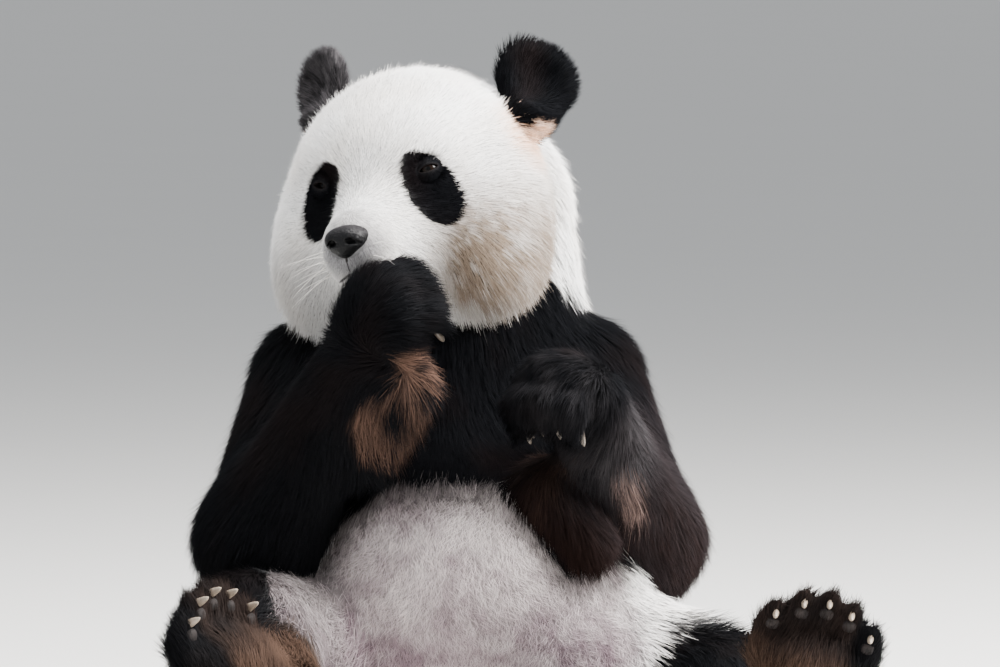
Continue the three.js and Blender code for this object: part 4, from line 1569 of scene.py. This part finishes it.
FLESH = ["head", "muzzle", "lower_jaw", "neck", "chest", "belly", "rump", "tail"]
PAIRS = ("ear", "upper_arm", "forearm", "forepaw", "thigh", "shank", "hind_foot")
FLESH += [f"{part}_{side}" for part in PAIRS for side in SIDES]
CLAWS = [f"{paw}_claw_{i}" for paw in PAWS for i in range(1, 6)]
# The skin carries the coat's markings at 0.6 of their brightness: partly darker skin, partly
# painted shade in the gaps between tufts.
SKIN_SHADE = 0.6

surface = skin_surface()
hairs = {
    "coat_white": hair_finish("white_hair", 0.8, 0.2, 0.15),
    "coat_black": hair_finish("black_hair", 0.65, 0.07, 0.0),
    "coat_belly": hair_finish("thin_wool", 0.8, 0.2, 0.1),
}
dull_black = hair_finish("dull_black_hair", 0.75, 0.04, 0.0)
dull_coats = ("coat_eye_patches", "coat_ears", "coat_chest", "coat_shoulders", "coat_arm_left")
skin = (surface.points, surface.quads, coat_colours(surface) * SKIN_SHADE)
shown("skin", skin, skin_finish(), "coat_white", *FLESH)

owner = patch_of(surface)[in_triangles(surface.quads)[:, 0]]
for name, patch in PATCHES.items():
    hair = dull_black if name in dull_coats else hairs[patch.slot]
    coat_piece(name, surface, owner == name, hair)

bare_leather = leather_finish("bare_skin", 0.7, 0.15, 900.0, 0.0006)
lid_leather = leather_finish("lid_skin", 0.8, 0.05, 900.0, 0.0006)
moist_leather = leather_finish("moist_nose", 0.4, 0.12, 420.0, 0.0012)
for side in SIDES:
    shown(f"eye_ball_{side}", eyeball(side), eye_finish(), "eye", f"eye_{side}")
    shown(f"eye_lids_{side}", lids(side), lid_leather, "coat_black")
shown("nose_pad", nose_pad(), moist_leather, "nose_skin", "nose")
shown("lips", lips(), bare_leather, "nose_skin")
shown("whiskers", whiskers(), hairs["coat_white"], "coat_white")
pads = gathered([pad_mesh(pad, 40 + i) for i, pad in enumerate(PADS)])
shown("pads", pads, bare_leather, "nose_skin")
shown("claws", claws(), horn_finish(), "claw", *CLAWS)


# ---------- floor, light and camera ----------


FLOOR = (0.70, 0.69, 0.67)


def floor():
    """Flat for 9 m all round, then a wide bowl: z = 60 m ((r - 9) / 291)^2."""
    columns, flat, bowl, rise = 96, 9000, 291000, 60000
    r = np.concatenate([np.linspace(10, flat, 10), flat + bowl * np.linspace(0, 1, 14)[1:] ** 2])
    angle = angles(columns)
    z = rise * (np.maximum(r - flat, 0) / bowl) ** 2
    circles = [np.outer(r, np.cos(angle)), np.outer(r, np.sin(angle)), np.outer(z, 1 + 0 * angle)]
    points = np.stack(circles, axis=-1).reshape(-1, 3)
    faces = np.concatenate([net_faces(len(r), columns)[:, ::-1], cap(columns)])
    return mesh_piece("floor", points, faces, np.full(points.shape, FLOOR), floor_finish())


def looking(along):
    """The turn of a lamp or camera that points along a direction."""
    return Vector(along).to_track_quat("-Z", "Y").to_euler()


def lamp(name, place, aim, size, power, colour):
    """A square lamp, its side in metres and its power in watts."""
    light = bpy.data.lights.new(name, "AREA")
    light.size, light.energy, light.color = size, power, colour
    piece = linked(name, light)
    piece.location = place
    piece.rotation_euler = looking(Vector(aim) - Vector(place))


floor()
lamp("window", (3.1, -0.9, 2.9), (0, 0, 0.5), 1.7, 900, (1.0, 0.985, 0.965))
lamp("fill", (-3.2, -2.6, 1.8), (0, 0, 0.4), 3.0, 40, (0.90, 0.95, 1.0))
lamp("top", (0.1, -0.3, 3.4), (0, 0.1, 0.6), 2.0, 330, (1.0, 0.99, 0.97))

world = bpy.data.worlds.new("studio")
world.use_nodes = True
sky = world.node_tree.nodes["Background"].inputs
sky["Color"].default_value = (0.80, 0.83, 0.87, 1)
sky["Strength"].default_value = 0.8
bpy.context.scene.world = world

# Metres, radians, and millimetres of lens and sensor.
CAMERA_DISTANCE = 7.0
CAMERA_RISE = np.radians(3)
LENS, SENSOR = 224.28, 36
target = placed(vec(56, 0, 490))
away = vec(0, -np.cos(CAMERA_RISE), np.sin(CAMERA_RISE))
lens = bpy.data.cameras.new("camera")
lens.sensor_width, lens.lens = SENSOR, LENS
camera = linked("camera", lens)
camera.location = target + away * CAMERA_DISTANCE
camera.rotation_euler = looking(-away)
bpy.context.scene.camera = camera
